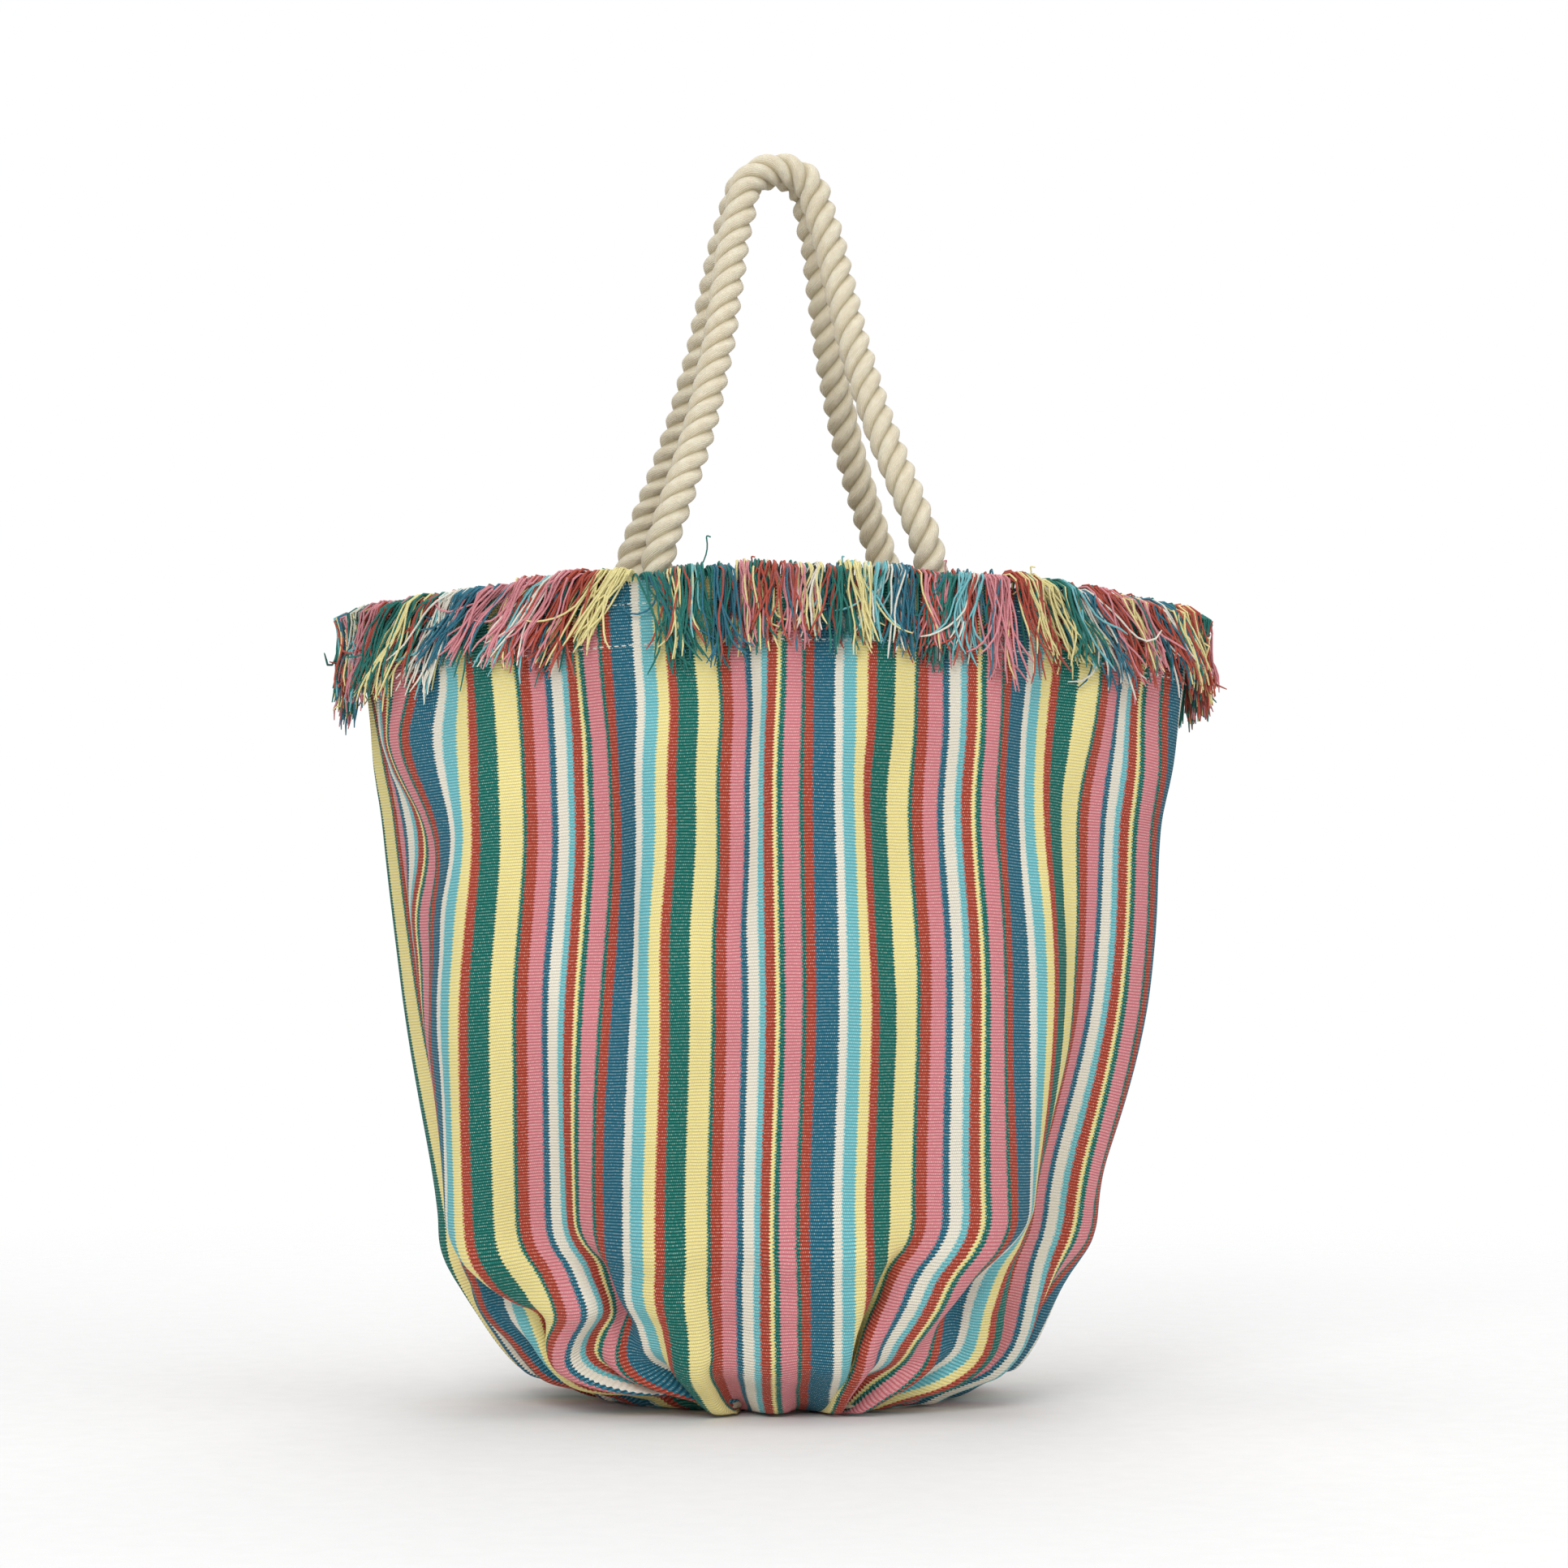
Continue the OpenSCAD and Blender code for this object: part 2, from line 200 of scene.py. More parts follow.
def fold_slopes(side, s, v):
    """How strongly the cloth turns at each place of one row, before it is scaled to fit."""
    rng = random.Random(41 if side == FRONT else 97)
    gathers = random_phase(rng, 13, s)
    fine = random_phase(rng, 27, s)
    broad = random_phase(rng, 5, s, 0.25)
    narrow = random_phase(rng, 9, s, 0.3)
    drift = rng.uniform(0, 6)
    near_base = 1 - ease((v - 0.035) / 0.110)
    quiet = 1 - 0.66 * np.exp(-((s + 0.012) / 0.040) ** 4) if side == FRONT else 1.0
    drawn_in = 1 - ease((v - 0.02) / 0.05)  # the gathers crowd towards the middle at the seam
    quiet = quiet * (1 + drawn_in * (0.35 - 0.75 * ease((np.abs(s) - 0.12) / 0.08)))
    turn = near_base * quiet * (np.sin(gathers) + 0.28 * np.sin(2 * gathers + 0.9))
    turn = turn + 0.55 * (1 - ease(v / 0.04)) * quiet * np.sin(fine)
    upper = 0.10 + 0.32 * ease((v - 0.06) / 0.12)
    at_rim = ease((v - PANEL_H + 0.13) / 0.09)
    turn = turn + upper * (1 - 0.75 * at_rim) * np.sin(broad + 0.8 * math.sin(6.5 * v + drift))
    turn = turn + upper * (0.25 + 0.75 * at_rim) * np.sin(narrow + 0.5 * math.sin(9 * v))
    if side == FRONT:
        belly = window(v, 0.07, 0.05, 0.28, 0.10)
        turn = turn * (1 - belly * (0.45 - 0.85 * ease((np.abs(s) - 0.11) / 0.09)))
        high = ease((v - 0.02) / 0.06) * (1 - 0.6 * ease((v - PANEL_H + 0.10) / 0.06))
        turn = turn + 0.85 * high * (0.16 + 0.84 * ease((v - 0.23) / 0.09)) \
            * valley(s, LEFT_VALLEY + 0.012 * math.sin(8 * v), 0.015)
        turn = turn + 0.45 * high * ease((v - 0.16) / 0.1) * valley(s, RIGHT_VALLEY, 0.014)
        small = window(v, 0.30, 0.05, 0.43, 0.05)
        turn = turn + 0.35 * small * valley(s, SMALL_VALLEY, 0.005)
        turn = turn + 0.42 * window(v, 0.25, 0.1, PANEL_H - 0.07, 0.05) \
            * valley(s, CORNER_VALLEY + 0.013 * math.sin(26 * v), 0.013)
        low = 1 - ease((v - 0.09) / 0.06)
        for at, strength in LOW_CREASES:
            turn = turn + strength * low * valley(s, at * (0.86 + 3.6 * v), 0.010)
    return turn


def folded_row(side, s, v):
    """Places of one row of cloth: its true width is kept, and the spare width goes into folds."""
    t = float(share_at(v))
    theta = side + np.linspace(-math.pi / 2, math.pi / 2, 241)
    ring = ring_point(np.full_like(theta, t), theta)
    along = lengths_along(ring)
    span = along[-1]
    turn = fold_slopes(side, s, v)
    step = s[1] - s[0]
    half = len(s) // 2
    scales = []
    for part in (slice(0, half + 1), slice(half, None)):
        low, high = 0.0, 3.0
        for _ in range(24):
            scale = (low + high) / 2
            reach = np.sum(np.cos(scale * turn[part][1:])) * step
            low, high = (scale, high) if reach > span / 2 else (low, scale)
        scales.append(scale)
    scale = scales[0] + (scales[1] - scales[0]) * ease(s / 0.05 + 0.5)
    angle = scale * turn
    across = summed(np.cos(angle), step)
    across = np.interp(across, [0, across[half], across[-1]], [0, span / 2, span])
    out = summed(np.sin(angle), step)
    out -= np.linspace(0, 1, len(s)) * out[-1]
    if side == FRONT:  # the slack cloth of the top left corner hangs in an S
        slack = window(s, -0.292, 0.03, -0.232, 0.035) \
            * window(v, 0.30, 0.06, PANEL_H - 0.075, 0.04)
        across = across + 0.0090 * slack * math.sin(2 * math.pi * (v - 0.335) / 0.150)
    place = np.interp(across, along, theta)
    return t, place, out


def folded_grid(side, s):
    """The places of a panel's rows and columns in the shared frame, folded and gathered."""
    grid = np.zeros((len(ROW_PLACES), len(s), 3))
    fine_s = np.linspace(-PANEL_W / 2, PANEL_W / 2, 8 * COLUMNS + 1)
    for j, v in enumerate(ROW_PLACES):
        t, place, out = folded_row(side, fine_s, v)
        place, out = np.interp(s, fine_s, place), np.interp(s, fine_s, out)
        level = np.full_like(place, t)
        here = ring_point(level, place)
        rise = ring_point(np.full_like(place, min(t + 0.002, 1.0)), place) \
            - ring_point(np.full_like(place, max(t - 0.002, 0.0)), place)
        run = ring_point(level, place + 0.01) - ring_point(level, place - 0.01)
        normal = unit(np.cross(run, rise))
        out = out * (0.55 + 0.45 * ease(v / 0.018))
        out = out - 0.013 * window(v, 0, 0.014, 0.020, 0.030) * ease((np.abs(s) - 0.10) / 0.08)
        near_leg = np.exp(-((np.abs(here[:, 0]) - LEG_X) / 0.026) ** 4) \
            * ease((v - PANEL_H + 0.085) / 0.025)
        out = out + near_leg * (np.maximum(0.0, -out) + 0.0005)
        sides = np.clip((PANEL_W / 2 - np.abs(s)) / 0.004, 0, 1)
        grid[j] = here + normal * (out * sides)[:, None]
    grid[:, :, 2] = np.maximum(grid[:, :, 2], LOWEST)
    return grid


# ---------------------------------------------------------------- mesh helpers

def new_object(name, mesh):
    obj = bpy.data.objects.new(name, mesh)
    bpy.context.scene.collection.objects.link(obj)
    return obj


def stand_for(obj, node):
    """The piece rides on the bag and takes the place of a CAD node."""
    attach(obj, "root")
    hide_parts(node)


def finished(name, bm, material=None, smooth=True):
    """A bmesh becomes an object."""
    for face in bm.faces:
        face.smooth = smooth
    mesh = bpy.data.meshes.new(name)
    bm.to_mesh(mesh)
    bm.free()
    if material:
        mesh.materials.append(material)
    return new_object(name, mesh)


def map_flat(bm):
    """The map that the weave follows holds the flat place in metres."""
    layer = bm.loops.layers.uv.new("flat")
    for face in bm.faces:
        for loop in face.loops:
            loop[layer].uv = loop.vert.co.xy


def flat_grid(name, columns, rows, width, height):
    """A flat sheet of cloth from a bmesh grid."""
    bm = bmesh.new()
    bmesh.ops.create_grid(bm, x_segments=columns, y_segments=rows, size=0.5)
    bmesh.ops.scale(bm, verts=bm.verts, vec=(width, height, 1))
    bmesh.ops.translate(bm, verts=bm.verts, vec=(0, height / 2, 0))
    map_flat(bm)
    return finished(name, bm)


def get_points(mesh):
    co = np.zeros(len(mesh.vertices) * 3, np.float64)
    mesh.vertices.foreach_get("co", co)
    return co.reshape(-1, 3)


def set_points(mesh, co):
    mesh.vertices.foreach_set("co", np.asarray(co, np.float64).ravel())
    mesh.update()


def flip_if_inward(obj):
    """Turns a sheet's faces outwards from the middle of the bag."""
    centre = Vector((0, 0, BODY_H / 2))
    bm = bmesh.new()
    bm.from_mesh(obj.data)
    lean = sum(f.normal.dot(f.calc_center_median() - centre) * f.calc_area() for f in bm.faces)
    if lean < 0:
        bmesh.ops.reverse_faces(bm, faces=bm.faces)
    bm.to_mesh(obj.data)
    bm.free()


def sample_grid(grid, s, v):
    """Places on a panel's grid at flat places s, v."""
    last = grid.shape[1] - 1
    col = np.clip((np.asarray(s) + PANEL_W / 2) / PANEL_W * last, 0, last)
    row = np.interp(np.asarray(v), ROW_PLACES, np.arange(len(ROW_PLACES)))
    i, j = np.minimum(col.astype(int), last - 1), np.minimum(row.astype(int), ROWS - 1)
    fi, fj = (col - i)[..., None], (row - j)[..., None]
    return (grid[j, i] * (1 - fi) * (1 - fj) + grid[j, i + 1] * fi * (1 - fj)
            + grid[j + 1, i] * (1 - fi) * fj + grid[j + 1, i + 1] * fi * fj)


def unit(vectors):
    """Vectors brought to a length of one."""
    return vectors / np.maximum(np.linalg.norm(vectors, axis=-1, keepdims=True), 1e-9)


def grid_normals(grid):
    """Outward normals of a panel's grid."""
    return unit(np.cross(np.gradient(grid, axis=1), np.gradient(grid, axis=0)))


def finish_cloth(obj, thickness, levels=1):
    if levels:
        smooth = obj.modifiers.new("smooth cloth", "SUBSURF")
        smooth.levels = smooth.render_levels = levels
        smooth.boundary_smooth = "PRESERVE_CORNERS"
    solid = obj.modifiers.new("cloth thickness", "SOLIDIFY")
    solid.thickness = thickness
    solid.offset = -1


# ---------------------------------------------------------------- shader groups

def make_group(name, inputs, outputs):
    """An empty node group with named sockets: label, kind and default, or label and kind."""
    tree = bpy.data.node_groups.new(name, "ShaderNodeTree")
    for label, kind, value in inputs:
        item = tree.interface.new_socket(name=label, in_out="INPUT", socket_type=kind)
        if value is not None:
            item.default_value = value
    for label, kind in outputs:
        tree.interface.new_socket(name=label, in_out="OUTPUT", socket_type=kind)
    return tree, tree.nodes.new("NodeGroupInput"), tree.nodes.new("NodeGroupOutput")


class Wires:
    """Adds nodes to a tree and joins them."""

    def __init__(self, tree):
        self.tree = tree

    def node(self, kind, **settings):
        n = self.tree.nodes.new(kind)
        for key, value in settings.items():
            setattr(n, key, value)
        return n

    def join(self, source, target):
        self.tree.links.new(source, target)

    def feed(self, socket, value):
        """A number or a colour is set on the socket, and anything else is joined to it."""
        if isinstance(value, (int, float)):
            socket.default_value = value
        elif isinstance(value, tuple):
            socket.default_value = (*value, 1.0)
        else:
            self.join(value, socket)

    def math(self, operation, *values):
        n = self.node("ShaderNodeMath", operation=operation)
        for socket, value in zip(n.inputs, values):
            self.feed(socket, value)
        return n.outputs[0]

    def times(self, a, b):
        return self.math("MULTIPLY", a, b)

    def times_plus(self, a, b, c):
        return self.math("MULTIPLY_ADD", a, b, c)

    def wave(self, turns):
        """A wave from 0 to 1."""
        return self.times_plus(self.math("SINE", self.times(turns, 2 * math.pi)), 0.5, 0.5)

    def mix(self, factor, a, b, blend="MIX"):
        n = self.node("ShaderNodeMix", data_type="RGBA", blend_type=blend)
        for place, value in ((0, factor), (6, a), (7, b)):
            self.feed(n.inputs[place], value)
        return n.outputs[2]

    def shade(self, colour, level):
        """A colour made darker or brighter by a level."""
        grey = self.node("ShaderNodeCombineColor")
        for i in range(3):
            self.join(level, grey.inputs[i])
        return self.mix(1.0, colour, grey.outputs[0], "MULTIPLY")

    def noise(self, vector, scale, detail=2.0, rough=0.5):
        n = self.node("ShaderNodeTexNoise")
        n.inputs["Scale"].default_value = scale
        n.inputs["Detail"].default_value = detail
        n.inputs["Roughness"].default_value = rough
        self.join(vector, n.inputs["Vector"])
        return n.outputs[0]

    def stretch(self, vector, scale):
        n = self.node("ShaderNodeMapping")
        n.inputs["Scale"].default_value = scale
        self.join(vector, n.inputs["Vector"])
        return n.outputs[0]

    def remap(self, value, low, high, to_low=0.0, to_high=1.0):
        n = self.node("ShaderNodeMapRange", clamp=True)
        for socket, number in zip(n.inputs[1:5], (low, high, to_low, to_high)):
            socket.default_value = number
        self.join(value, n.inputs[0])
        return n.outputs[0]

    def split(self, vector):
        """The three parts of a vector."""
        n = self.node("ShaderNodeSeparateXYZ")
        self.join(vector, n.inputs[0])
        return n.outputs

    def group(self, tree, **values):
        n = self.node("ShaderNodeGroup", node_tree=tree)
        for key, value in values.items():
            self.feed(n.inputs[key.replace("_", " ")], value)
        return n.outputs


def ribbed_weave_group():
    """Weft ribs crossed by warp threads: a height, the ribs, and the pale flecks."""
    if "Ribbed weave" in bpy.data.node_groups:
        return bpy.data.node_groups["Ribbed weave"]
    tree, source, sink = make_group(
        "Ribbed weave",
        [("Vector", "NodeSocketVector", None), ("Rib pitch", "NodeSocketFloat", 0.00175),
         ("Thread pitch", "NodeSocketFloat", 0.0011)],
        [(label, "NodeSocketFloat") for label in ("Height", "Ribs", "Flecks")])
    w = Wires(tree)
    place, pitch = source.outputs["Vector"], source.outputs["Rib pitch"]
    across, along, _ = w.split(place)
    wander = w.noise(w.stretch(place, (60, 30, 1)), 1.0, 2)
    v = w.math("DIVIDE", w.times_plus(wander, 0.0011, along), pitch)
    ribs = w.wave(v)
    shift = w.times(w.math("MODULO", w.math("FLOOR", v), 2.0), 0.5)  # every other row is set off
    u = w.math("ADD", w.math("DIVIDE", across, source.outputs["Thread pitch"]), shift)
    thread = w.wave(u)
    slub = w.noise(w.stretch(place, (900, 260, 1)), 1.0, 3, 0.7)
    height = w.times(w.math("POWER", ribs, 0.6), w.times_plus(thread, 0.35, 0.65))
    fleck = w.noise(w.stretch(place, (1100, 560, 1)), 1.0, 1, 0.4)
    crowns = w.remap(w.times(ribs, thread), 0.42, 0.80)
    w.join(w.times_plus(slub, 0.5, height), sink.inputs["Height"])
    w.join(ribs, sink.inputs["Ribs"])
    w.join(w.times(w.remap(fleck, 0.44, 0.62, 0.12, 1.0), crowns), sink.inputs["Flecks"])
    return tree


def worn_dye_group():
    """Uneven dye: slow patches and fine streaks over a colour."""
    if "Worn dye" in bpy.data.node_groups:
        return bpy.data.node_groups["Worn dye"]
    tree, source, sink = make_group(
        "Worn dye",
        [("Vector", "NodeSocketVector", None), ("Colour", "NodeSocketColor", (0.5, 0.5, 0.5, 1)),
         ("Patches", "NodeSocketFloat", 0.10), ("Streaks", "NodeSocketFloat", 0.12)],
        [("Colour", "NodeSocketColor")])
    w = Wires(tree)
    place = source.outputs["Vector"]
    slow = w.remap(w.noise(place, 9.0, 3), 0.3, 0.7, -1.0, 1.0)
    fine = w.remap(w.noise(place, 1400.0, 2), 0.3, 0.7, -1.0, 1.0)
    level = w.times_plus(slow, source.outputs["Patches"], 1.0)
    level = w.times_plus(fine, source.outputs["Streaks"], level)
    w.join(w.shade(source.outputs["Colour"], level), sink.inputs["Colour"])
    return tree


def new_material(name, roughness, sheen):
    mat = bpy.data.materials.new(name)
    mat.use_nodes = True
    w = Wires(mat.node_tree)
    shader = mat.node_tree.nodes["Principled BSDF"]
    shader.inputs["Roughness"].default_value = roughness
    shader.inputs["Sheen Weight"].default_value = sheen
    shader.inputs["Sheen Roughness"].default_value = 0.5
    shader.inputs["Specular IOR Level"].default_value = 0.2
    return mat, w, shader


def add_dye(w, shader, place, colour, patches, streaks):
    """The worn colour of a cloth or yarn."""
    dyed = w.group(worn_dye_group(), Vector=place, Colour=colour, Patches=patches, Streaks=streaks)
    w.join(dyed["Colour"], shader.inputs["Base Color"])


def add_bump(w, shader, height, strength, distance):
    bump = w.node("ShaderNodeBump")
    bump.inputs["Strength"].default_value = strength
    bump.inputs["Distance"].default_value = distance
    w.join(height, bump.inputs["Height"])
    w.join(bump.outputs[0], shader.inputs["Normal"])


def striped_cloth_material(name, offset):
    """Warp stripes with edges that step at each rib, flecked with undyed cotton, with painted
    shade darkening the rib valleys.
    """
    look = bpy.context.scene.beach_bag_cloth
    mat, w, shader = new_material(name, 0.88, 0.05)
    flat = w.node("ShaderNodeUVMap", uv_map="flat").outputs[0]
    weave = w.group(ribbed_weave_group(), Vector=flat, Rib_pitch=look.rib_pitch,
                    Thread_pitch=look.thread_pitch)
    ribs, flecks = weave["Ribs"], weave["Flecks"]
    wobble = w.remap(w.noise(w.stretch(flat, (300, 500, 1)), 1.0, 1), 0.3, 0.7, -0.0003, 0.0003)
    stepped = w.times_plus(ribs, 0.00115, wobble)
    u = w.math("ADD", w.split(flat)[0], stepped)
    place = w.math("FRACT", w.math("DIVIDE", w.math("SUBTRACT", u, offset), look.stripe_repeat))
    ramp = w.node("ShaderNodeValToRGB")
    ramp.color_ramp.interpolation = "CONSTANT"
    stops = ramp.color_ramp.elements
    total = sum(width for _, width in STRIPES)
    at = 0.0
    for i, (dye, width) in enumerate(STRIPES):
        stop = stops[i] if i < 2 else stops.new(at / total)
        stop.position = at / total
        stop.color = (*getattr(look, dye), 1)
        at += width
    w.join(place, ramp.inputs[0])
    flecked = w.mix(w.times(flecks, look.fleck_strength), ramp.outputs[0], tuple(look.white))
    # painted shade: the stripes are multiplied darker in the valleys between the weft ribs
    painted_rib_shade = w.remap(ribs, 0.0, 0.55, 0.62, 0.0)
    add_dye(w, shader, flat, w.mix(painted_rib_shade, flecked, flecked, "MULTIPLY"), 0.06, 0.08)
    w.join(w.remap(flecks, 0, 1, 0.84, 0.95), shader.inputs["Roughness"])
    add_bump(w, shader, weave["Height"], 0.8, 0.0008)
    return mat


def plain_cotton_material():
    """Plain natural cotton with small husk flecks and painted shade in the rib valleys."""
    mat, w, shader = new_material("natural_cotton_lining", 0.92, 0.12)
    flat = w.node("ShaderNodeUVMap", uv_map="flat").outputs[0]
    weave = w.group(ribbed_weave_group(), Vector=flat, Rib_pitch=0.0009, Thread_pitch=0.0009)
    husks = w.remap(w.noise(w.stretch(flat, (420, 420, 1)), 1.0, 1), 0.70, 0.78)
    colour = w.mix(husks, (0.72, 0.64, 0.48), (0.38, 0.27, 0.14))
    # painted shade: the cotton is darkened in the valleys between its ribs
    colour = w.mix(w.remap(weave["Ribs"], 0.0, 0.5, 0.16, 0.0), colour, (0.3, 0.25, 0.17))
    add_dye(w, shader, flat, colour, 0.07, 0.05)
    add_bump(w, shader, weave["Height"], 0.45, 0.0004)
    return mat


def yarn_material(dye):
    """Loose dyed yarn: a fuzzy twisted thread with a paler nap."""
    look = bpy.context.scene.beach_bag_cloth
    mat, w, shader = new_material("fringe_yarn_" + dye, 0.9, 0.15)
    place = w.node("ShaderNodeTexCoord").outputs["Object"]
    nap = w.remap(w.noise(place, 1900.0, 3, 0.65), 0.42, 0.66)
    base = tuple(0.88 * c for c in getattr(look, dye))
    pale = tuple(min(1.0, c * 0.72 + 0.22) for c in base)
    add_dye(w, shader, place, w.mix(w.times(nap, 0.28), base, pale), 0.16, 0.16)
    add_bump(w, shader, w.noise(place, 1500.0, 3, 0.7), 0.5, 0.0004)
    return mat


def rope_material():
    """Twisted natural cotton: pale crowns, painted olive-brown shade in the grooves, and fine
    yarns with painted shade between them.
    """
    look = bpy.context.scene.beach_bag_rope
    mat, w, shader = new_material("twisted_cotton_rope", 0.86, 0.25)
    turns = w.node("ShaderNodeUVMap", uv_map="lay").outputs[0]
    place = w.node("ShaderNodeTexCoord").outputs["Object"]
    groove = w.node("ShaderNodeAttribute", attribute_name="groove").outputs["Fac"]
    across, along, _ = w.split(turns)
    wander = w.noise(w.stretch(turns, (9, 120, 1)), 1.0, 2)
    yarn_line = w.math("ADD", w.times(across, 44.0),
                       w.times_plus(along, 210.0, w.times(wander, 2.2)))
    yarns = w.wave(yarn_line)
    fuzz = w.noise(place, 900.0, 4, 0.7)
    patches = w.remap(w.noise(place, 160.0, 3), 0.35, 0.7)
    colour = w.mix(patches, tuple(look.colour), tuple(look.shade))
    # painted shade: the rope is darkened in the gaps between its fine yarns, where the yarn wave
    # is low
    colour = w.mix(w.remap(yarns, 0.0, 0.45, 0.20, 0.0), colour, (0.42, 0.33, 0.19))
    # painted shade: olive-brown darkening in the grooves between the strands, stronger where they
    # are deeper
    painted_groove_shade_mask = w.times(w.math("POWER", groove, 2.2), 0.72)
    add_dye(w, shader, place, w.mix(painted_groove_shade_mask, colour, tuple(look.painted_groove_shade)), 0.05, 0.07)
    w.join(w.remap(groove, 0.0, 1.0, 0.84, 0.95), shader.inputs["Roughness"])
    add_bump(w, shader, w.times_plus(fuzz, 0.9, w.times(yarns, 0.8)), 0.6, 0.0006)
    return mat


def thread_material():
    """White sewing thread with a fine twist, with painted shade where the twist is low."""
    mat, w, shader = new_material("white_sewing_thread", 0.6, 0.2)
    place = w.node("ShaderNodeTexCoord").outputs["Object"]
    twist = w.noise(w.stretch(place, (2600, 2600, 900)), 1.0, 2)
    # painted shade: the thread is darkened in the low places of its twist
    colour = w.mix(w.remap(twist, 0.35, 0.6, 0.5, 0.0), (0.86, 0.84, 0.79), (0.55, 0.52, 0.46))
    add_dye(w, shader, place, colour, 0.04, 0.06)
    add_bump(w, shader, twist, 0.4, 0.0002)
    return mat


def floor_material():
    """Pale matt floor that thins out towards its rim."""
    look = bpy.context.scene.beach_bag_stage
    mat, w, shader = new_material("pale_floor", 0.8, 0.0)
    place = w.node("ShaderNodeTexCoord").outputs["Object"]
    speck = w.remap(w.noise(place, 60.0, 3), 0.3, 0.7, 0.97, 1.0)
    w.join(w.shade(tuple(look.floor_colour), speck), shader.inputs["Base Color"])
    length = w.node("ShaderNodeVectorMath", operation="LENGTH")
    w.join(place, length.inputs[0])
    w.join(w.remap(length.outputs["Value"], 0.35, 1.30, 1.0, 0.0), shader.inputs["Alpha"])
    return mat


def shared(name, maker, *args):
    """A material that several pieces use is made once."""
    if name not in bpy.data.materials:
        made = maker(*args)
        made.name = name
    return bpy.data.materials[name]


# ---------------------------------------------------------------- settings

def colour_property(label, text, value):
    return FloatVectorProperty(name=label, description=text, subtype="COLOR", size=3,
                               min=0, max=1, default=value)


def length_property(label, text, value):
    return FloatProperty(name=label, description=text, default=value, min=0,
                         subtype="DISTANCE", unit="LENGTH", precision=4)


class BeachBagCloth(bpy.types.PropertyGroup):
    blue: colour_property("Blue", "Dye of the blue stripes and yarns", DYES["blue"])
    green: colour_property("Green", "Dye of the green stripes and yarns", DYES["green"])
    red: colour_property("Red", "Dye of the brick red stripes and yarns", DYES["red"])
    pink: colour_property("Pink", "Dye of the pink stripes and yarns", DYES["pink"])
    yellow: colour_property("Yellow", "Dye of the pale yellow stripes and yarns", DYES["yellow"])
    sky: colour_property("Sky", "Dye of the light blue stripes and yarns", DYES["sky"])
    white: colour_property("White", "Undyed stripes, yarns and flecks", DYES["white"])
    stripe_repeat: length_property("Stripe repeat", "Width of one run of all stripes", 0.1203)
    rib_pitch: length_property("Rib pitch", "Height of one weft rib", 0.00175)
    thread_pitch: length_property("Thread pitch", "Width of one warp thread", 0.0011)
    thickness: length_property("Cloth thickness", "Thickness of the striped cloth", 0.0012)
    fleck_strength: FloatProperty(name="Flecks", description="How pale the undyed flecks are",
                                  default=0.58, min=0, max=1, subtype="FACTOR")


class BeachBagRope(bpy.types.PropertyGroup):
    diameter: length_property("Rope diameter", "Thickness of the handles", 2 * ROPE_R)
    lay: length_property("Lay", "Length of one full turn of a strand", 0.0375)
    strands: IntProperty(name="Strands", description="Number of strands twisted together",
                         default=3, min=3, max=4)
    colour: colour_property("Rope colour", "Crowns of the strands", (0.86, 0.79, 0.62))
    shade: colour_property("Rope shade", "Duller patches of the strands", (0.78, 0.69, 0.51))
    # colour of the painted shade in the grooves between the strands
    painted_groove_shade: colour_property("Painted groove shade", "Between the strands", (0.34, 0.27, 0.12))


class BeachBagFringe(bpy.types.PropertyGroup):
    tassels: IntProperty(name="Tassels", description="Bunches on each half of the rim",
                         default=44, min=10, max=60)
    yarns: IntProperty(name="Yarns", description="Yarns in each bunch", default=25, min=4, max=40)
    length: length_property("Yarn length", "Length of a yarn outside the seam", 0.073)
    thickness: length_property("Yarn thickness", "Thickness of one yarn", 0.00125)


class BeachBagStage(bpy.types.PropertyGroup):
    distance: length_property("Camera distance", "From the camera to the bag", 3.0)
    focal_length: FloatProperty(name="Focal length", default=115.0, min=20, max=300,
                                description="Lens of the camera, in millimetres")
    azimuth: FloatProperty(name="Azimuth", description="Turn of the camera from the front",
                           default=math.radians(-7), subtype="ANGLE", unit="ROTATION")
    floor_colour: colour_property("Floor colour", "Pale studio floor", (0.86, 0.86, 0.86))


# ---------------------------------------------------------------- stage

CAMERA_AIM = (0.005, 0.0, 0.367)
FLOOR_RADIUS = 1.4
LIGHTS = (  # name, place, size in metres, power in watts
    ("key_light", (-1.1, -2.6, 1.9), 1.4, 38),
    ("fill_light", (1.9, -1.9, 1.2), 1.8, 12),
    ("back_light", (0.6, 2.4, 1.9), 1.8, 26),
    ("top_light", (0, 0, 2.6), 1.6, 14),
)


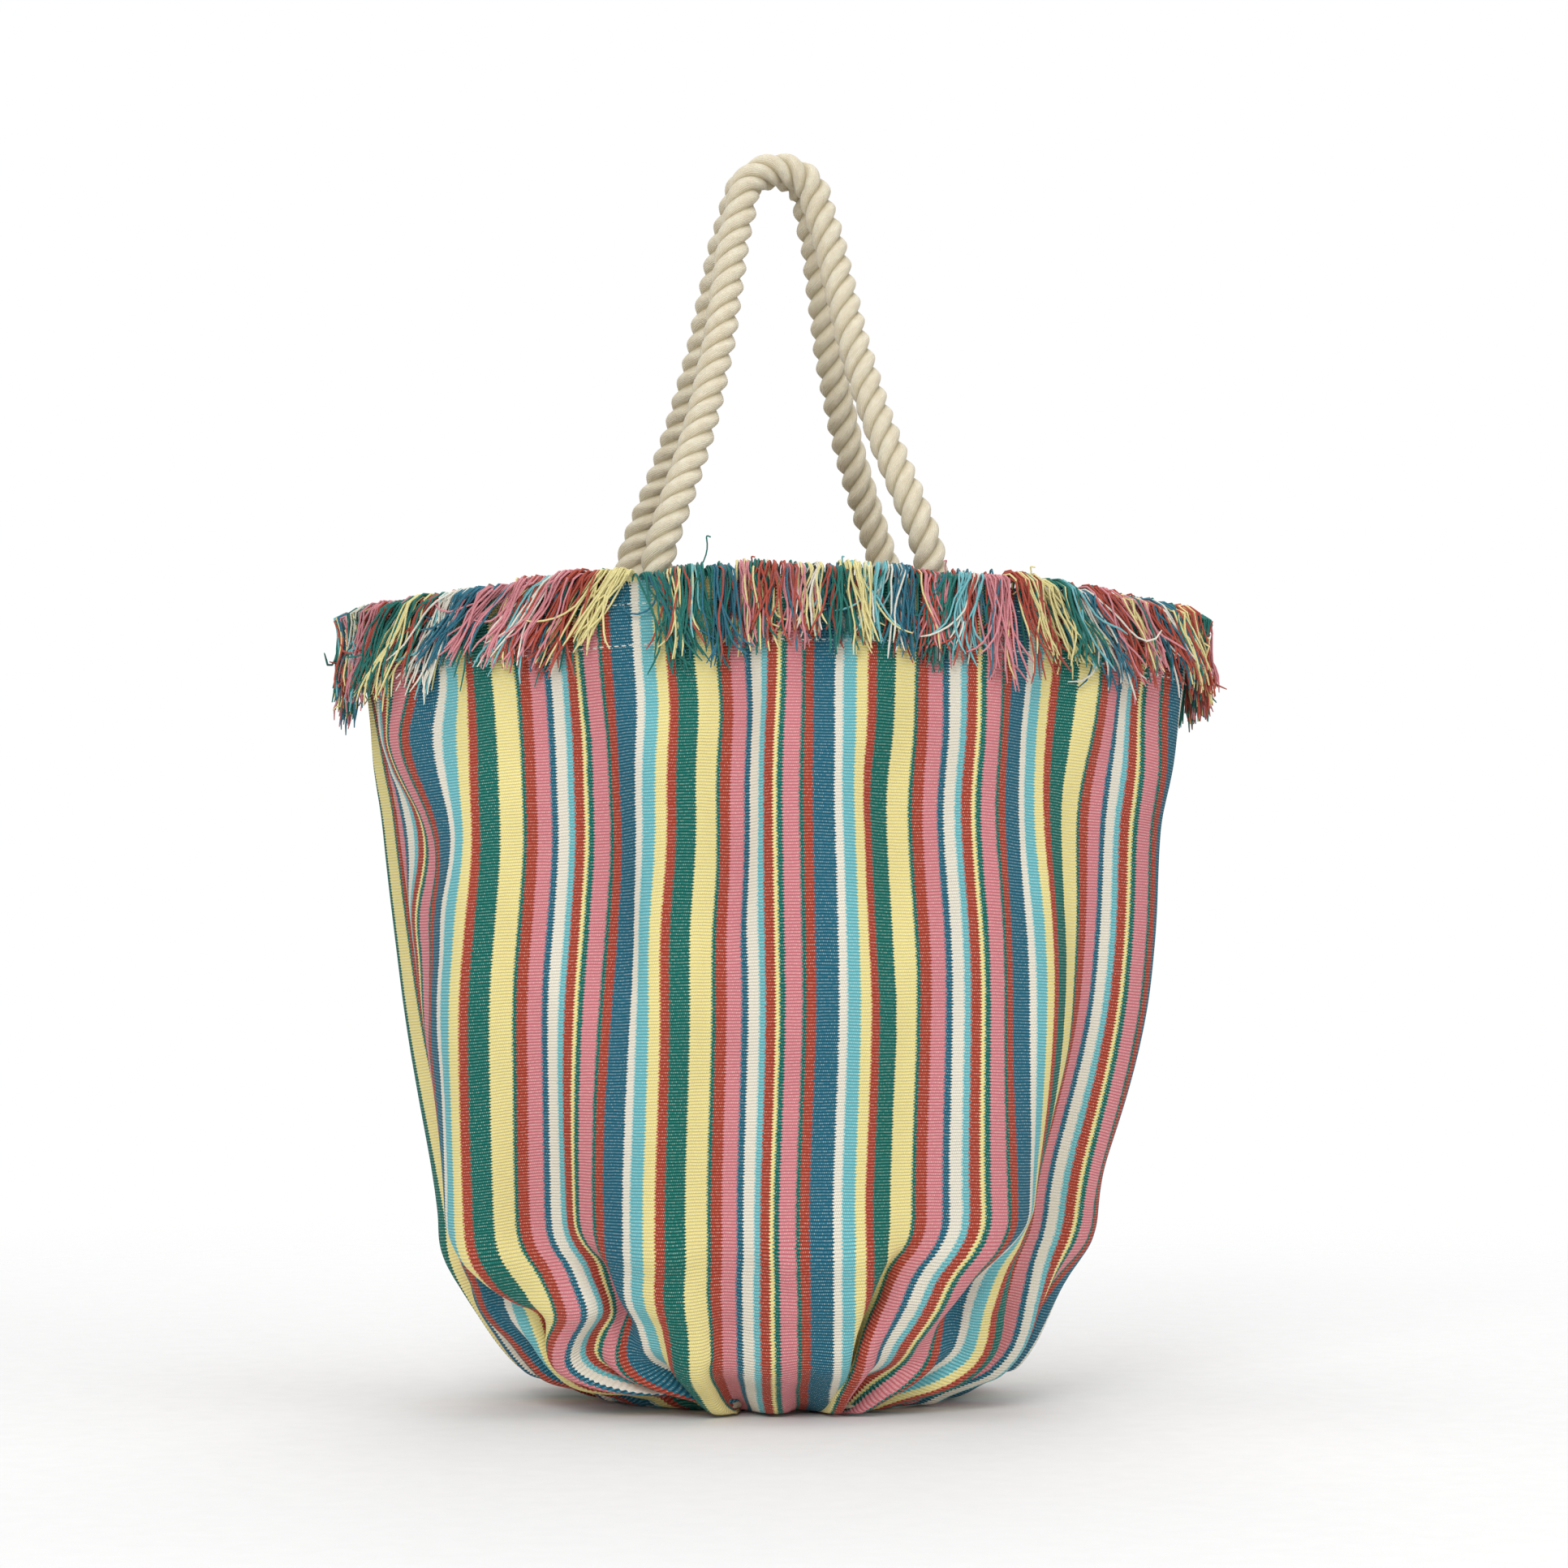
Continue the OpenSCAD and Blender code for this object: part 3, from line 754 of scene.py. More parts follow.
class OBJECT_OT_beach_bag_stage(bpy.types.Operator):
    """Set the camera, the pale floor and the soft studio lights"""
    bl_idname = "object.beach_bag_stage"
    bl_label = "Stage"

    def execute(self, context):
        stage = context.scene.beach_bag_stage
        context.scene.view_settings.view_transform = "Standard"
        aim = Vector(CAMERA_AIM)
        back = Vector((math.sin(stage.azimuth), -math.cos(stage.azimuth), 0)) * stage.distance
        data = bpy.data.cameras.new("camera")
        data.lens = stage.focal_length
        data.sensor_width = 36
        camera = new_object("camera", data)
        camera.location = aim + back
        camera.rotation_euler = (-back).to_track_quat("-Z", "Y").to_euler()
        context.scene.camera = camera

        bm = bmesh.new()
        bmesh.ops.create_circle(bm, cap_ends=True, segments=96, radius=FLOOR_RADIUS)
        floor = finished("studio_floor", bm, floor_material(), smooth=False)
        floor.location.z = -0.0004

        world = bpy.data.worlds.new("studio")
        context.scene.world = world
        world.use_nodes = True
        w = Wires(world.node_tree)
        sky = world.node_tree.nodes["Background"]
        rays = w.node("ShaderNodeLightPath").outputs["Is Camera Ray"]
        w.join(w.remap(rays, 0, 1, 0.62, 1.0), sky.inputs["Strength"])
        sky.inputs["Color"].default_value = (1, 1, 1, 1)
        for name, place, size, power in LIGHTS:
            data = bpy.data.lights.new(name, "AREA")
            data.size, data.energy = size, power
            light = new_object(name, data)
            light.location = place
            light.rotation_euler = (aim - Vector(place)).to_track_quat("-Z", "Y").to_euler()
        return {"FINISHED"}


# ---------------------------------------------------------------- rope

def handle_line(side, step):
    """The middle line of a handle from one hem exit to the other, in even steps."""
    face = -1 if side == FRONT else 1
    half = np.array(HANDLE_ROUTE) * [1.0, LOOP_RISE / HANDLE_ROUTE[-1][1]]
    route = np.concatenate([half * [-1, 1], half[-2::-1]])
    dense = []
    ends = np.concatenate([[2 * route[0] - route[1]], route, [2 * route[-1] - route[-2]]])
    for k in range(len(route) - 1):
        p0, p1, p2, p3 = ends[k:k + 4]
        for f in np.linspace(0, 1, 12, endpoint=False):
            dense.append(0.5 * (2 * p1 + (p2 - p0) * f + (2 * p0 - 5 * p1 + 4 * p2 - p3) * f * f
                                + (3 * p1 - p0 - 3 * p2 + p3) * f ** 3))
    dense.append(route[-1])
    dense = np.array(dense)
    h = dense[:, 1] - BEND_H
    back = np.where(h <= -0.020, 0, np.where(h >= 0.020, h, (h + 0.020) ** 2 / 0.080))
    line = np.stack([dense[:, 0], face * (LEG_Y - LEAN * back), BODY_H + dense[:, 1]], axis=1)
    along = lengths_along(line)
    even = np.linspace(0, along[-1], int(round(along[-1] / step)) + 1)
    return np.stack([np.interp(even, along, line[:, i]) for i in range(3)], axis=1)


def strand_radius(angle, strands, radius):
    """Outline of strands twisted together: round crowns and shallow grooves."""
    turn = 2 * math.pi / strands
    off = (angle + turn / 2) % turn - turn / 2
    out, crown = (0.46, 0.54) if strands == 4 else (0.42, 0.58)
    r = out * np.cos(off) + np.sqrt(np.maximum(crown ** 2 - (out * np.sin(off)) ** 2, 0))
    return radius * r, (1 - r) / (1 - r.min())


def rope_tube(name, line, start_turn=0.0):
    """A twisted rope swept along a line, its ends closed."""
    look = bpy.context.scene.beach_bag_rope
    around, rings = 36, len(line)
    bm = bmesh.new()
    bmesh.ops.create_grid(bm, x_segments=around, y_segments=rings - 1, size=0.5)
    layer = bm.loops.layers.uv.new("lay")
    depth = bm.verts.layers.float.new("groove")
    tangents = unit(np.gradient(line, axis=0))
    across = np.cross(tangents[0], [0, 1, 0])
    frames = []
    for tangent in tangents:
        across = across - tangent * across.dot(tangent)
        across /= np.linalg.norm(across)
        frames.append((across.copy(), np.cross(tangent, across)))
    along = lengths_along(line)
    angles = 2 * math.pi * np.arange(around + 1) / around
    radii, grooves = strand_radius(angles, look.strands, look.diameter / 2)
    for face in bm.faces:
        for loop in face.loops:
            co = loop.vert.co
            loop[layer].uv = (co.x + 0.5, (co.y + 0.5) * along[-1])
    for vert in bm.verts:
        i = int(round((vert.co.x + 0.5) * around))
        j = int(round((vert.co.y + 0.5) * (rings - 1)))
        turn = angles[i] + 2 * math.pi * along[j] / look.lay + start_turn
        a, b = frames[j]
        vert[depth] = float(grooves[i])
        vert.co = line[j] + radii[i] * (math.cos(turn) * a + math.sin(turn) * b)
    bmesh.ops.remove_doubles(bm, verts=bm.verts, dist=1e-6)
    bmesh.ops.holes_fill(bm, edges=[e for e in bm.edges if e.is_boundary], sides=0)
    bmesh.ops.recalc_face_normals(bm, faces=bm.faces)
    return finished(name, bm, shared("twisted_cotton_rope", rope_material))


class OBJECT_OT_beach_bag_handles(bpy.types.Operator):
    """Twist the two rope handles and the ends that are sewn into the hem"""
    bl_idname = "object.beach_bag_handles"
    bl_label = "Rope handles"

    def execute(self, context):
        for side, word, body in ((FRONT, "front", "front_loop"), (BACK, "back", "back_loop")):
            line = handle_line(side, 0.0016)
            rope = rope_tube("rope_handle_" + word, line)
            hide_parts("handle_" + word, "rope_bend_" + word)
            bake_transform(rope)
            length = float(np.linalg.norm(np.diff(line, axis=0), axis=1).sum())
            self.hem_ends(word, line, length)
        return {"FINISHED"}

    def hem_ends(self, word, line, length):
        """The rope ends in the hem, each whipped with thread."""
        look = bpy.context.scene.beach_bag_rope
        parts, whips = [], []
        count = 24
        for top, start, end in ((line[0], -HEM_ROPE, 0), (line[-1], 0, HEM_ROPE)):
            z = np.linspace(start, end, count)
            down = np.stack([np.full(count, top[0]), np.full(count, top[1]),
                             HEM_TOP - np.abs(z)], axis=1)
            turned = length if end else start  # the strands run on from the handle's
            parts.append(rope_tube("rope_end", down, 2 * math.pi * turned / look.lay))
            whips.append(self.whipping(top))
        for name, group, node, slot in (
                ("rope_ends_in_hem_" + word, parts, "rope_ends_" + word, "cotton_rope"),
                ("thread_whippings_" + word, whips, "rope_whippings_" + word, "sewing_thread")):
            stand_for(join_objects(name, group), node)

    def whipping(self, top):
        """Thread wound side by side round a rope end."""
        turns, height = 10, 0.012
        bm = bmesh.new()
        bmesh.ops.create_grid(bm, x_segments=24, y_segments=turns * 4, size=0.5)
        for vert in bm.verts:
            angle = 2 * math.pi * (vert.co.x + 0.5)
            up = vert.co.y + 0.5
            wound = turns * up + angle / (2 * math.pi)
            r = ROPE_R + 0.0001 + 0.0004 * abs(math.sin(math.pi * wound))
            if up in (0.0, 1.0):
                r = ROPE_R - 0.0022
            vert.co = (top[0] + r * math.cos(angle), top[1] + r * math.sin(angle),
                       HEM_TOP - HEM_ROPE + 0.003 + height * up)
        bmesh.ops.remove_doubles(bm, verts=bm.verts, dist=1e-6)
        bmesh.ops.recalc_face_normals(bm, faces=bm.faces)
        return finished("whipping", bm, shared("white_sewing_thread", thread_material))


def join_objects(name, objects):
    """Several meshes become one object that sits at the origin."""
    with bpy.context.temp_override(active_object=objects[0], selected_editable_objects=objects,
                                   selected_objects=objects, object=objects[0]):
        bpy.ops.object.join()
    objects[0].name = objects[0].data.name = name
    return objects[0]


# ---------------------------------------------------------------- cloth

SURFACES = {}  # grids of the two panels after the cloth has settled


def settle_cloth(obj, placed, held):
    """Lets the gathered sheet find its own creases; its true flat size is its rest shape."""
    mesh = obj.data
    obj.shape_key_add(name="flat", from_mix=False)
    set_points(mesh, placed)
    placed_key = obj.shape_key_add(name="placed", from_mix=False)
    placed_key.data.foreach_set("co", placed.ravel())
    placed_key.value = 1.0
    group = obj.vertex_groups.new(name="held")
    for index in np.nonzero(held)[0]:
        group.add([int(index)], float(held[index]), "REPLACE")
    cloth = obj.modifiers.new("cloth", "CLOTH")
    c = cloth.settings
    c.quality = 8
    c.mass = 0.03
    c.air_damping = 3.0
    c.tension_stiffness = c.compression_stiffness = 40
    c.shear_stiffness = 12
    c.bending_stiffness = 0.35
    c.tension_damping = c.compression_damping = 8
    c.shear_damping = 8
    c.vertex_group_mass = "held"
    c.pin_stiffness = 1.0
    c.rest_shape_key = mesh.shape_keys.key_blocks["flat"]
    c.use_pressure = True
    c.uniform_pressure_force = 0.35
    c.effector_weights.gravity = 0.35
    cloth.collision_settings.use_collision = False
    cloth.collision_settings.use_self_collision = False
    scene = bpy.context.scene
    cloth.point_cache.frame_start, cloth.point_cache.frame_end = 1, SETTLE_FRAMES
    for number in range(1, SETTLE_FRAMES + 1):
        scene.frame_set(number)
    done = obj.evaluated_get(bpy.context.evaluated_depsgraph_get())
    settled = get_points(done.data)
    obj.modifiers.remove(cloth)
    obj.shape_key_clear()
    obj.vertex_groups.clear()
    scene.frame_set(1)
    return settled


class OBJECT_OT_beach_bag_panels(bpy.types.Operator):
    """Gather, fold and settle the front and back panels"""
    bl_idname = "object.beach_bag_panels"
    bl_label = "Striped panels"

    def execute(self, context):
        look = context.scene.beach_bag_cloth
        for side, word in SIDES:
            panel = flat_grid("striped_panel_" + word, COLUMNS, ROWS, PANEL_W, PANEL_H)
            flat = get_points(panel.data)
            columns = np.rint((flat[:, 0] / PANEL_W + 0.5) * COLUMNS).astype(int)
            lines = np.rint(flat[:, 1] / PANEL_H * ROWS).astype(int)
            flat[:, 1] = ROW_PLACES[lines]
            set_points(panel.data, flat)
            layer = panel.data.uv_layers["flat"].data
            spot = np.zeros(len(layer), np.int32)
            panel.data.loops.foreach_get("vertex_index", spot)
            layer.foreach_set("uv", flat[spot][:, :2].astype(np.float32).ravel())
            s = np.linspace(-PANEL_W / 2, PANEL_W / 2, COLUMNS + 1)
            grid = folded_grid(side, s)
            placed = grid[lines, columns]
            edge = (columns == 0) | (columns == COLUMNS) | (lines == 0)
            hem = ease((flat[:, 1] - (PANEL_H - HEM - 0.03)) / 0.03)
            held = np.where(edge, 1.0, hem)
            settled = settle_cloth(panel, placed, held)
            move = settled - placed
            far = np.linalg.norm(move, axis=1)
            move *= (SETTLE_LIMIT * np.tanh(far / SETTLE_LIMIT)
                     / np.maximum(far, 1e-9))[:, None]
            placed = placed + move
            free = PROUD_Y - PROUD_EASE
            over = np.abs(placed[:, 1]) - free
            placed[:, 1] = np.where(over > 0, np.sign(placed[:, 1]) * (
                free + PROUD_EASE * np.tanh(over / PROUD_EASE)), placed[:, 1])
            placed[:, 2] = np.maximum(placed[:, 2], LOWEST)
            set_points(panel.data, placed)
            flip_if_inward(panel)
            grid = np.zeros_like(grid)
            grid[lines, columns] = placed
            SURFACES[side] = grid
            panel.data.materials.append(
                striped_cloth_material("striped_cloth_" + word, STRIPE_START[side]))
            finish_cloth(panel, look.thickness)
            stand_for(panel, word + "_panel")
        return {"FINISHED"}


class OBJECT_OT_beach_bag_base(bpy.types.Operator):
    """Lay the oval base and its lining"""
    bl_idname = "object.beach_bag_base"
    bl_label = "Base"

    def execute(self, context):
        for name, node, slot, z, inset, thick, material in (
                ("striped_base", "base_panel", "striped_cloth", 0.0022, 0.0, 0.0012,
                 striped_cloth_material("striped_cloth_base", BASE_STRIPE_START)),
                ("base_lining", "lining_base", "lining_cloth", 0.0038, 0.003, 0.0008,
                 shared("natural_cotton_lining", plain_cotton_material))):
            bm = bmesh.new()
            bmesh.ops.create_circle(bm, cap_ends=True, segments=96, radius=1.0)
            bmesh.ops.scale(bm, verts=bm.verts, vec=(BASE_W / 2 - inset, BASE_D / 2 - inset, 1))
            for _ in range(9):
                bmesh.ops.inset_region(bm, faces=[max(bm.faces, key=lambda f: len(f.verts))],
                                       thickness=0.0068, use_even_offset=True)
            map_flat(bm)
            rng = random.Random(5)
            waves = [(rng.uniform(20, 60), rng.uniform(20, 60), rng.uniform(0, 6))
                     for _ in range(5)]
            for vert in bm.verts:
                x, y = vert.co.xy
                vert.co.z = z + 0.0003 * sum(math.sin(a * x + b * y + c) for a, b, c in waves) / 2
            bmesh.ops.recalc_face_normals(bm, faces=bm.faces)
            if sum(f.normal.z for f in bm.faces) < 0:
                bmesh.ops.reverse_faces(bm, faces=bm.faces)
            obj = finished(name, bm, material)
            finish_cloth(obj, thick, 0)
            stand_for(obj, node)
        return {"FINISHED"}


def pocket_depth(x, depth):
    """How far the facing stands off the panel to leave room for a rope end."""
    beside = (np.abs(np.abs(x) - LEG_X) - 0.017) / 0.026
    return POCKET * (1 - ease(beside)) * (1 - 0.62 * ease((depth - 0.052) / 0.018))


class OBJECT_OT_beach_bag_inside(bpy.types.Operator):
    """Face the hem with striped cloth and line the bag with cotton"""
    bl_idname = "object.beach_bag_inside"
    bl_label = "Facing and lining"

    def execute(self, context):
        for side, word in SIDES:
            grid = SURFACES[side]
            normals = grid_normals(grid)
            material = bpy.data.materials["striped_cloth_" + word]
            facing = flat_grid("hem_facing_" + word, 120, 14, PANEL_W, FACING_H)
            flat = get_points(facing.data)
            depth = FACING_H - flat[:, 1]
            s, v = flat[:, 0], PANEL_H - 0.0012 - depth
            place, normal = sample_grid(grid, s, v), sample_grid(normals, s, v)
            off = 0.0021 + pocket_depth(place[:, 0], depth)
            place = place - unit(normal * [1, 1, 0.15]) * off[:, None]
            held_off = np.abs(place[:, 1]) - (LEG_Y - ROPE_R - 0.0022)
            here = pocket_depth(place[:, 0], depth * 0) / POCKET \
                * (1 - ease((depth - 0.054) / 0.014))
            place[:, 1] -= np.sign(place[:, 1]) * np.maximum(held_off, 0) * here
            self.finish(facing, place, material, 0.0010,
                        "facing_" + word, "striped_cloth", (PANEL_W, FACING_H))

            height = PANEL_H - FACING_H + 0.006
            lining = flat_grid("cotton_lining_" + word, 96, 64, PANEL_W, height)
            flat = get_points(lining.data)
            s, v = flat[:, 0], flat[:, 1]
            place, normal = sample_grid(grid, s, v), unit(sample_grid(normals, s, v))
            below = np.clip(height - v, 0, None)
            off = 0.0016 + 0.0026 * ease(below / 0.02)
            near_pocket = pocket_depth(place[:, 0], np.full_like(v, 0.060)) * ease(below / 0.012) \
                * (1 - ease((below - 0.02) / 0.05))
            place = place - normal * (off + 0.55 * near_pocket)[:, None]
            place[:, 2] = np.maximum(place[:, 2], LINING_LOWEST)
            material = shared("natural_cotton_lining", plain_cotton_material)
            self.finish(lining, place, material, 0.0006,
                        "lining_" + word, "lining_cloth", (PANEL_W, height))
        return {"FINISHED"}

    def finish(self, obj, place, material, thickness, node, slot, flat):
        set_points(obj.data, place)
        flip_if_inward(obj)
        obj.data.materials.append(material)
        finish_cloth(obj, thickness)
        stand_for(obj, node)


class OBJECT_OT_beach_bag_stitching(bpy.types.Operator):
    """Sew the two rows of white topstitching under the rim"""
    bl_idname = "object.beach_bag_stitching"
    bl_label = "Topstitching"

    def execute(self, context):
        pitch, length, thick = 0.0042, 0.0033, 0.0008
        trees = panel_trees()
        for name, node, depth in (("topstitching_upper", "topstitch_upper", 0.013),
                                  ("topstitching_lower", "topstitch_lower", 0.036)):
            rng = random.Random(int(depth * 1e4))
            bm = bmesh.new()
            for side in (FRONT, BACK):
                count = int(PANEL_W / pitch)
                s = (np.arange(count) + 0.5) * PANEL_W / count - PANEL_W / 2
                v = PANEL_H - depth + np.array([rng.uniform(-0.0002, 0.0002) for _ in s])
                here = sample_grid(SURFACES[side], s, v)
                ahead = sample_grid(SURFACES[side], s + 0.001, v)
                for place, onward in zip(here, ahead):
                    spot, normal, _, _ = trees[side].find_nearest(Vector(place))
                    run = Vector(onward - place).normalized()
                    normal = (normal - run * normal.dot(run)).normalized()
                    matrix = Matrix((run, run.cross(normal), normal)).transposed().to_4x4()
                    matrix = Matrix.Translation(spot + normal * 0.00022) @ matrix \
                        @ Matrix.Diagonal((length / 2, thick / 2, thick / 2.4, 1))
                    bmesh.ops.create_uvsphere(bm, u_segments=7, v_segments=5, radius=1,
                                              matrix=matrix)
            bmesh.ops.recalc_face_normals(bm, faces=bm.faces)
            stitches = finished(name, bm, shared("white_sewing_thread", thread_material))
            stand_for(stitches, node)
        return {"FINISHED"}


def panel_trees():
    """Search trees that find the nearest place on each finished panel."""
    depsgraph = bpy.context.evaluated_depsgraph_get()
    return {side: BVHTree.FromObject(bpy.data.objects["striped_panel_" + word], depsgraph)
            for side, word in SIDES}


# ---------------------------------------------------------------- fringe

FRONT_BUNCHES = (  # dyes of the bunches from left to right; the first one rules
    "blue pink", "pink white red green", "green yellow white", "pink red yellow", "green red",
    "yellow green", "green red", "white sky", "blue", "pink green blue", "pink yellow red",
    "sky white red", "pink red", "red yellow", "yellow", "green blue", "green red yellow",
    "green sky yellow", "blue red green", "yellow pink green", "red yellow", "pink red blue",
    "yellow white", "green red", "yellow", "sky white green", "blue white", "pink red",
    "green pink", "sky white red", "pink red blue", "red yellow", "yellow green",
    "green yellow sky", "blue white", "red pink", "pink green yellow", "red white blue",
    "blue red white", "yellow green red", "red yellow", "green yellow pink", "red green",
    "green blue white",
)

FRONT_SWEEP = (  # place across the front, lean of the bunches there in degrees
    (-0.296, -8), (-0.270, -30), (-0.220, -42), (-0.120, -38), (-0.096, -30), (-0.089, 24),
    (-0.065, 12), (-0.040, 0), (0.090, 0), (0.120, 12), (0.140, 34), (0.200, 44), (0.260, 40),
    (0.296, 12),
)
THIN_PLACES = ((-0.110, -0.070), (0.118, 0.150))  # where the cloth shows under the front's rim
DYE_NAMES = list(DYES)
UNDER_DYES = ["green", "blue", "red", "green"]
WISPS = (  # place across the front, rise, reach to the side, dye
    (-0.064, 0.017, 0.015, "green"), (-0.036, 0.009, 0.012, "red"),
    (0.093, 0.010, -0.010, "pink"), (0.128, 0.010, 0.016, "yellow"),
    (-0.150, 0.007, -0.014, "white"), (0.021, 0.009, 0.006, "sky"),
)


class OBJECT_OT_beach_bag_fringe(bpy.types.Operator):
    """Pull bunches of dyed yarn out of the rim's seam and let them fall"""
    bl_idname = "object.beach_bag_fringe"
    bl_label = "Fringe"

    def execute(self, context):
        look = context.scene.beach_bag_fringe
        trees = panel_trees()
        for side, word in SIDES:
            rng = random.Random(311 if side == FRONT else 877)
            curve = bpy.data.curves.new("fringe_" + word, "CURVE")
            curve.dimensions = "3D"
            curve.bevel_depth = look.thickness / 2
            curve.bevel_resolution = 1
            curve.use_fill_caps = True
            for dye in DYE_NAMES:
                curve.materials.append(shared("fringe_yarn_" + dye, yarn_material, dye))
            for k in range(look.tassels):
                pick = k if side == FRONT else k * 7 + 3
                dyes = FRONT_BUNCHES[pick % len(FRONT_BUNCHES)].split()
                middle = ((k + 0.5 + rng.uniform(-0.16, 0.16)) / look.tassels - 0.5) * PANEL_W
                thin = side == FRONT and any(a < middle < b for a, b in THIN_PLACES)
                if not thin:
                    self.bunch(curve, rng, side, trees[side], middle, UNDER_DYES, look, "under")
                self.bunch(curve, rng, side, trees[side], middle, dyes, look, "over")
            for k in range(6):
                middle = (-1) ** k * (PANEL_W / 2 - 0.005 - 0.011 * (k // 2))
                self.bunch(curve, rng, side, trees[side], middle,
                           FRONT_BUNCHES[5 * k].split(), look, "side")
            if side == FRONT:
                self.wisps(curve)
            obj = new_object("yarn_fringe_" + word, curve)
            stand_for(self.to_mesh(context, obj), "fringe_" + word)
        return {"FINISHED"}

    def to_mesh(self, context, obj):
        depsgraph = context.evaluated_depsgraph_get()
        mesh = bpy.data.meshes.new_from_object(obj.evaluated_get(depsgraph))
        name, data = obj.name, obj.data
        bpy.data.objects.remove(obj)
        bpy.data.curves.remove(data)
        mesh.name = name
        for polygon in mesh.polygons:
            polygon.use_smooth = True
        return new_object(name, mesh)

    def wisps(self, curve):
        """A few loose strands that stand up from the rim in a curl."""
        for s, tall, side_way, dye in WISPS:
            rim = Vector(sample_grid(SURFACES[FRONT], s, PANEL_H))
            spline = curve.splines.new("POLY")
            spline.points.add(11)
            for i, point in enumerate(spline.points):
                f = i / 11
                point.co = (rim.x + side_way * (f + 0.25 * math.sin(5 * f)),
                            rim.y - 0.002 - 0.006 * f,
                            rim.z - 0.004 + tall * 1.6 * math.sin(1.8 * f), 1)
                point.radius = 0.75
            spline.material_index = DYE_NAMES.index(dye)

    def bunch(self, curve, rng, side, tree, middle, dyes, look, tier):
        """One bunch: flat under the others, round over them, or low at a side seam."""
        spread = PANEL_W / look.tassels
        edge = abs(middle) / (PANEL_W / 2)
        if side == FRONT:
            sweep = math.radians(float(np.interp(middle, *zip(*FRONT_SWEEP))))
        else:
            sweep = math.radians(52) * math.tanh(2.4 * middle / (PANEL_W / 2)) \
                * (1 - 0.55 * edge ** 6)
        sweep += math.radians(rng.uniform(-13, 13))
        reach = look.length * rng.uniform(0.84, 1.14) * (1 - 0.14 * math.exp(-(edge / 0.3) ** 2))
        pinch = rng.uniform(0.45, 0.95)
        lift = rng.uniform(0.0045, 0.0085)
        bunch_layer = rng.uniform(0.0008, 0.0046)
        count, wide, proud = int(look.yarns * rng.uniform(0.73, 1.05)), 0.33, 0.0068
        if tier == "under":
            count, wide, proud, bunch_layer = 7, 0.60, 0.0018, 0.0
            reach, pinch = reach * 0.92, 0.1
        elif tier == "side":
            count, reach, sweep, bunch_layer = 13, reach * 0.80, sweep * 0.25, 0.0030
        for _ in range(count):
            across = max(-1.1, min(1.1, rng.gauss(0, wide))) * spread
            dome = math.sqrt(max(0.04, 1 - (across / (0.95 * spread)) ** 2))
            s = min(max(middle + across, -PANEL_W / 2 + 0.001), PANEL_W / 2 - 0.001)
            dye = dyes[0] if rng.random() < (0.34 if tier == "under" else 0.70) or len(dyes) == 1 \
                else rng.choice(dyes[1:])
            if rng.random() < 0.05:
                dye = rng.choice(DYE_NAMES)
            low = rng.uniform(0.0, 0.012) if edge > 0.93 and rng.random() < 0.5 else 0.0
            if tier == "side":
                low = rng.uniform(0.014, 0.026)
            rim = sample_grid(SURFACES[side], s, PANEL_H - low)
            ahead = sample_grid(SURFACES[side], min(s + 0.004, PANEL_W / 2), PANEL_H) \
                - sample_grid(SURFACES[side], max(s - 0.004, -PANEL_W / 2), PANEL_H)
            run = Vector(ahead).normalized()
            flat_run = Vector((run.x, run.y, 0)).normalized()
            out = flat_run.cross(Vector((0, 0, 1))).normalized()
            layer = bunch_layer + 0.0006 + proud * dome * rng.random()
            self.yarn(curve, rng, Vector(rim), run, out, sweep + rng.gauss(0, math.radians(5)),
                      reach * rng.uniform(0.80, 1.03), across, pinch, lift, layer, edge, dye,
                      tree, 5 if tier == "under" else 8)

    def yarn(self, curve, rng, rim, run, out, angle, length, across, pinch, lift, layer,
             edge, dye, tree, steps):
        """One yarn: up out of the seam, over its edge and down along the cloth."""
        up = Vector((0, 0, 1))
        leg_gap = min(abs(abs(rim.x) - LEG_X) / 0.030, 1.0)
        height = lift * rng.uniform(0.8, 1.1) * (0.62 + 0.38 * leg_gap)
        layer = layer * (0.35 + 0.65 * leg_gap)
        lean = run * math.sin(angle) * 0.9
        over = out + lean * 0.9
        points = [rim - out * rng.uniform(0.0004, 0.0016) - up * 0.005 - lean * 0.004,
                  rim - out * 0.0004 + up * (height * 0.45) - lean * 0.002,
                  rim + over * (0.0008 + 0.30 * layer) + up * (height * 0.92),
                  rim + over * (0.0024 + 0.70 * layer) + up * height,
                  rim + over * (0.0048 + layer) + up * (height * 0.55)]
        lead = rng.uniform(-0.25, 0.25)
        curl = rng.gauss(0, 0.40) if rng.random() < 0.86 else rng.gauss(0, 1.2)
        wave, phase = rng.uniform(0.0, 0.30), rng.uniform(0, 6.3)
        flare = 0.011 * max(0.0, (edge - 0.80) / 0.20)
        here = points[-1]
        step = max(length - 0.014, 0.012) / steps
        for i in range(steps):
            f = (i + 1) / steps
            turn = angle * (1.05 - 0.35 * f) + lead * (1 - f) + curl * f * f * 0.7 \
                + wave * math.sin(8 * f + phase)
            gather = -across * pinch * 1.92 / steps * math.sin(math.pi * min(1.0, 1.2 * f))
            here = here - up * math.cos(turn) * step + run * (math.sin(turn) * step + gather)
            spot, normal, _, _ = tree.find_nearest(here)
            if spot is not None:
                flat_normal = out * 0.35 + Vector(normal) * 0.65 if normal.dot(out) > 0 else out
                gap = (here - spot).dot(flat_normal)
                want = 0.0010 + layer * (0.65 + 0.55 * f) + flare * f
                here = here + flat_normal * (want - gap) * (0.85 if gap < want else 0.30)
            here = here + Vector([rng.uniform(-1, 1) for _ in range(3)]) * 0.0004
            points.append(here.copy())
        spline = curve.splines.new("POLY")
        spline.points.add(len(points) - 1)
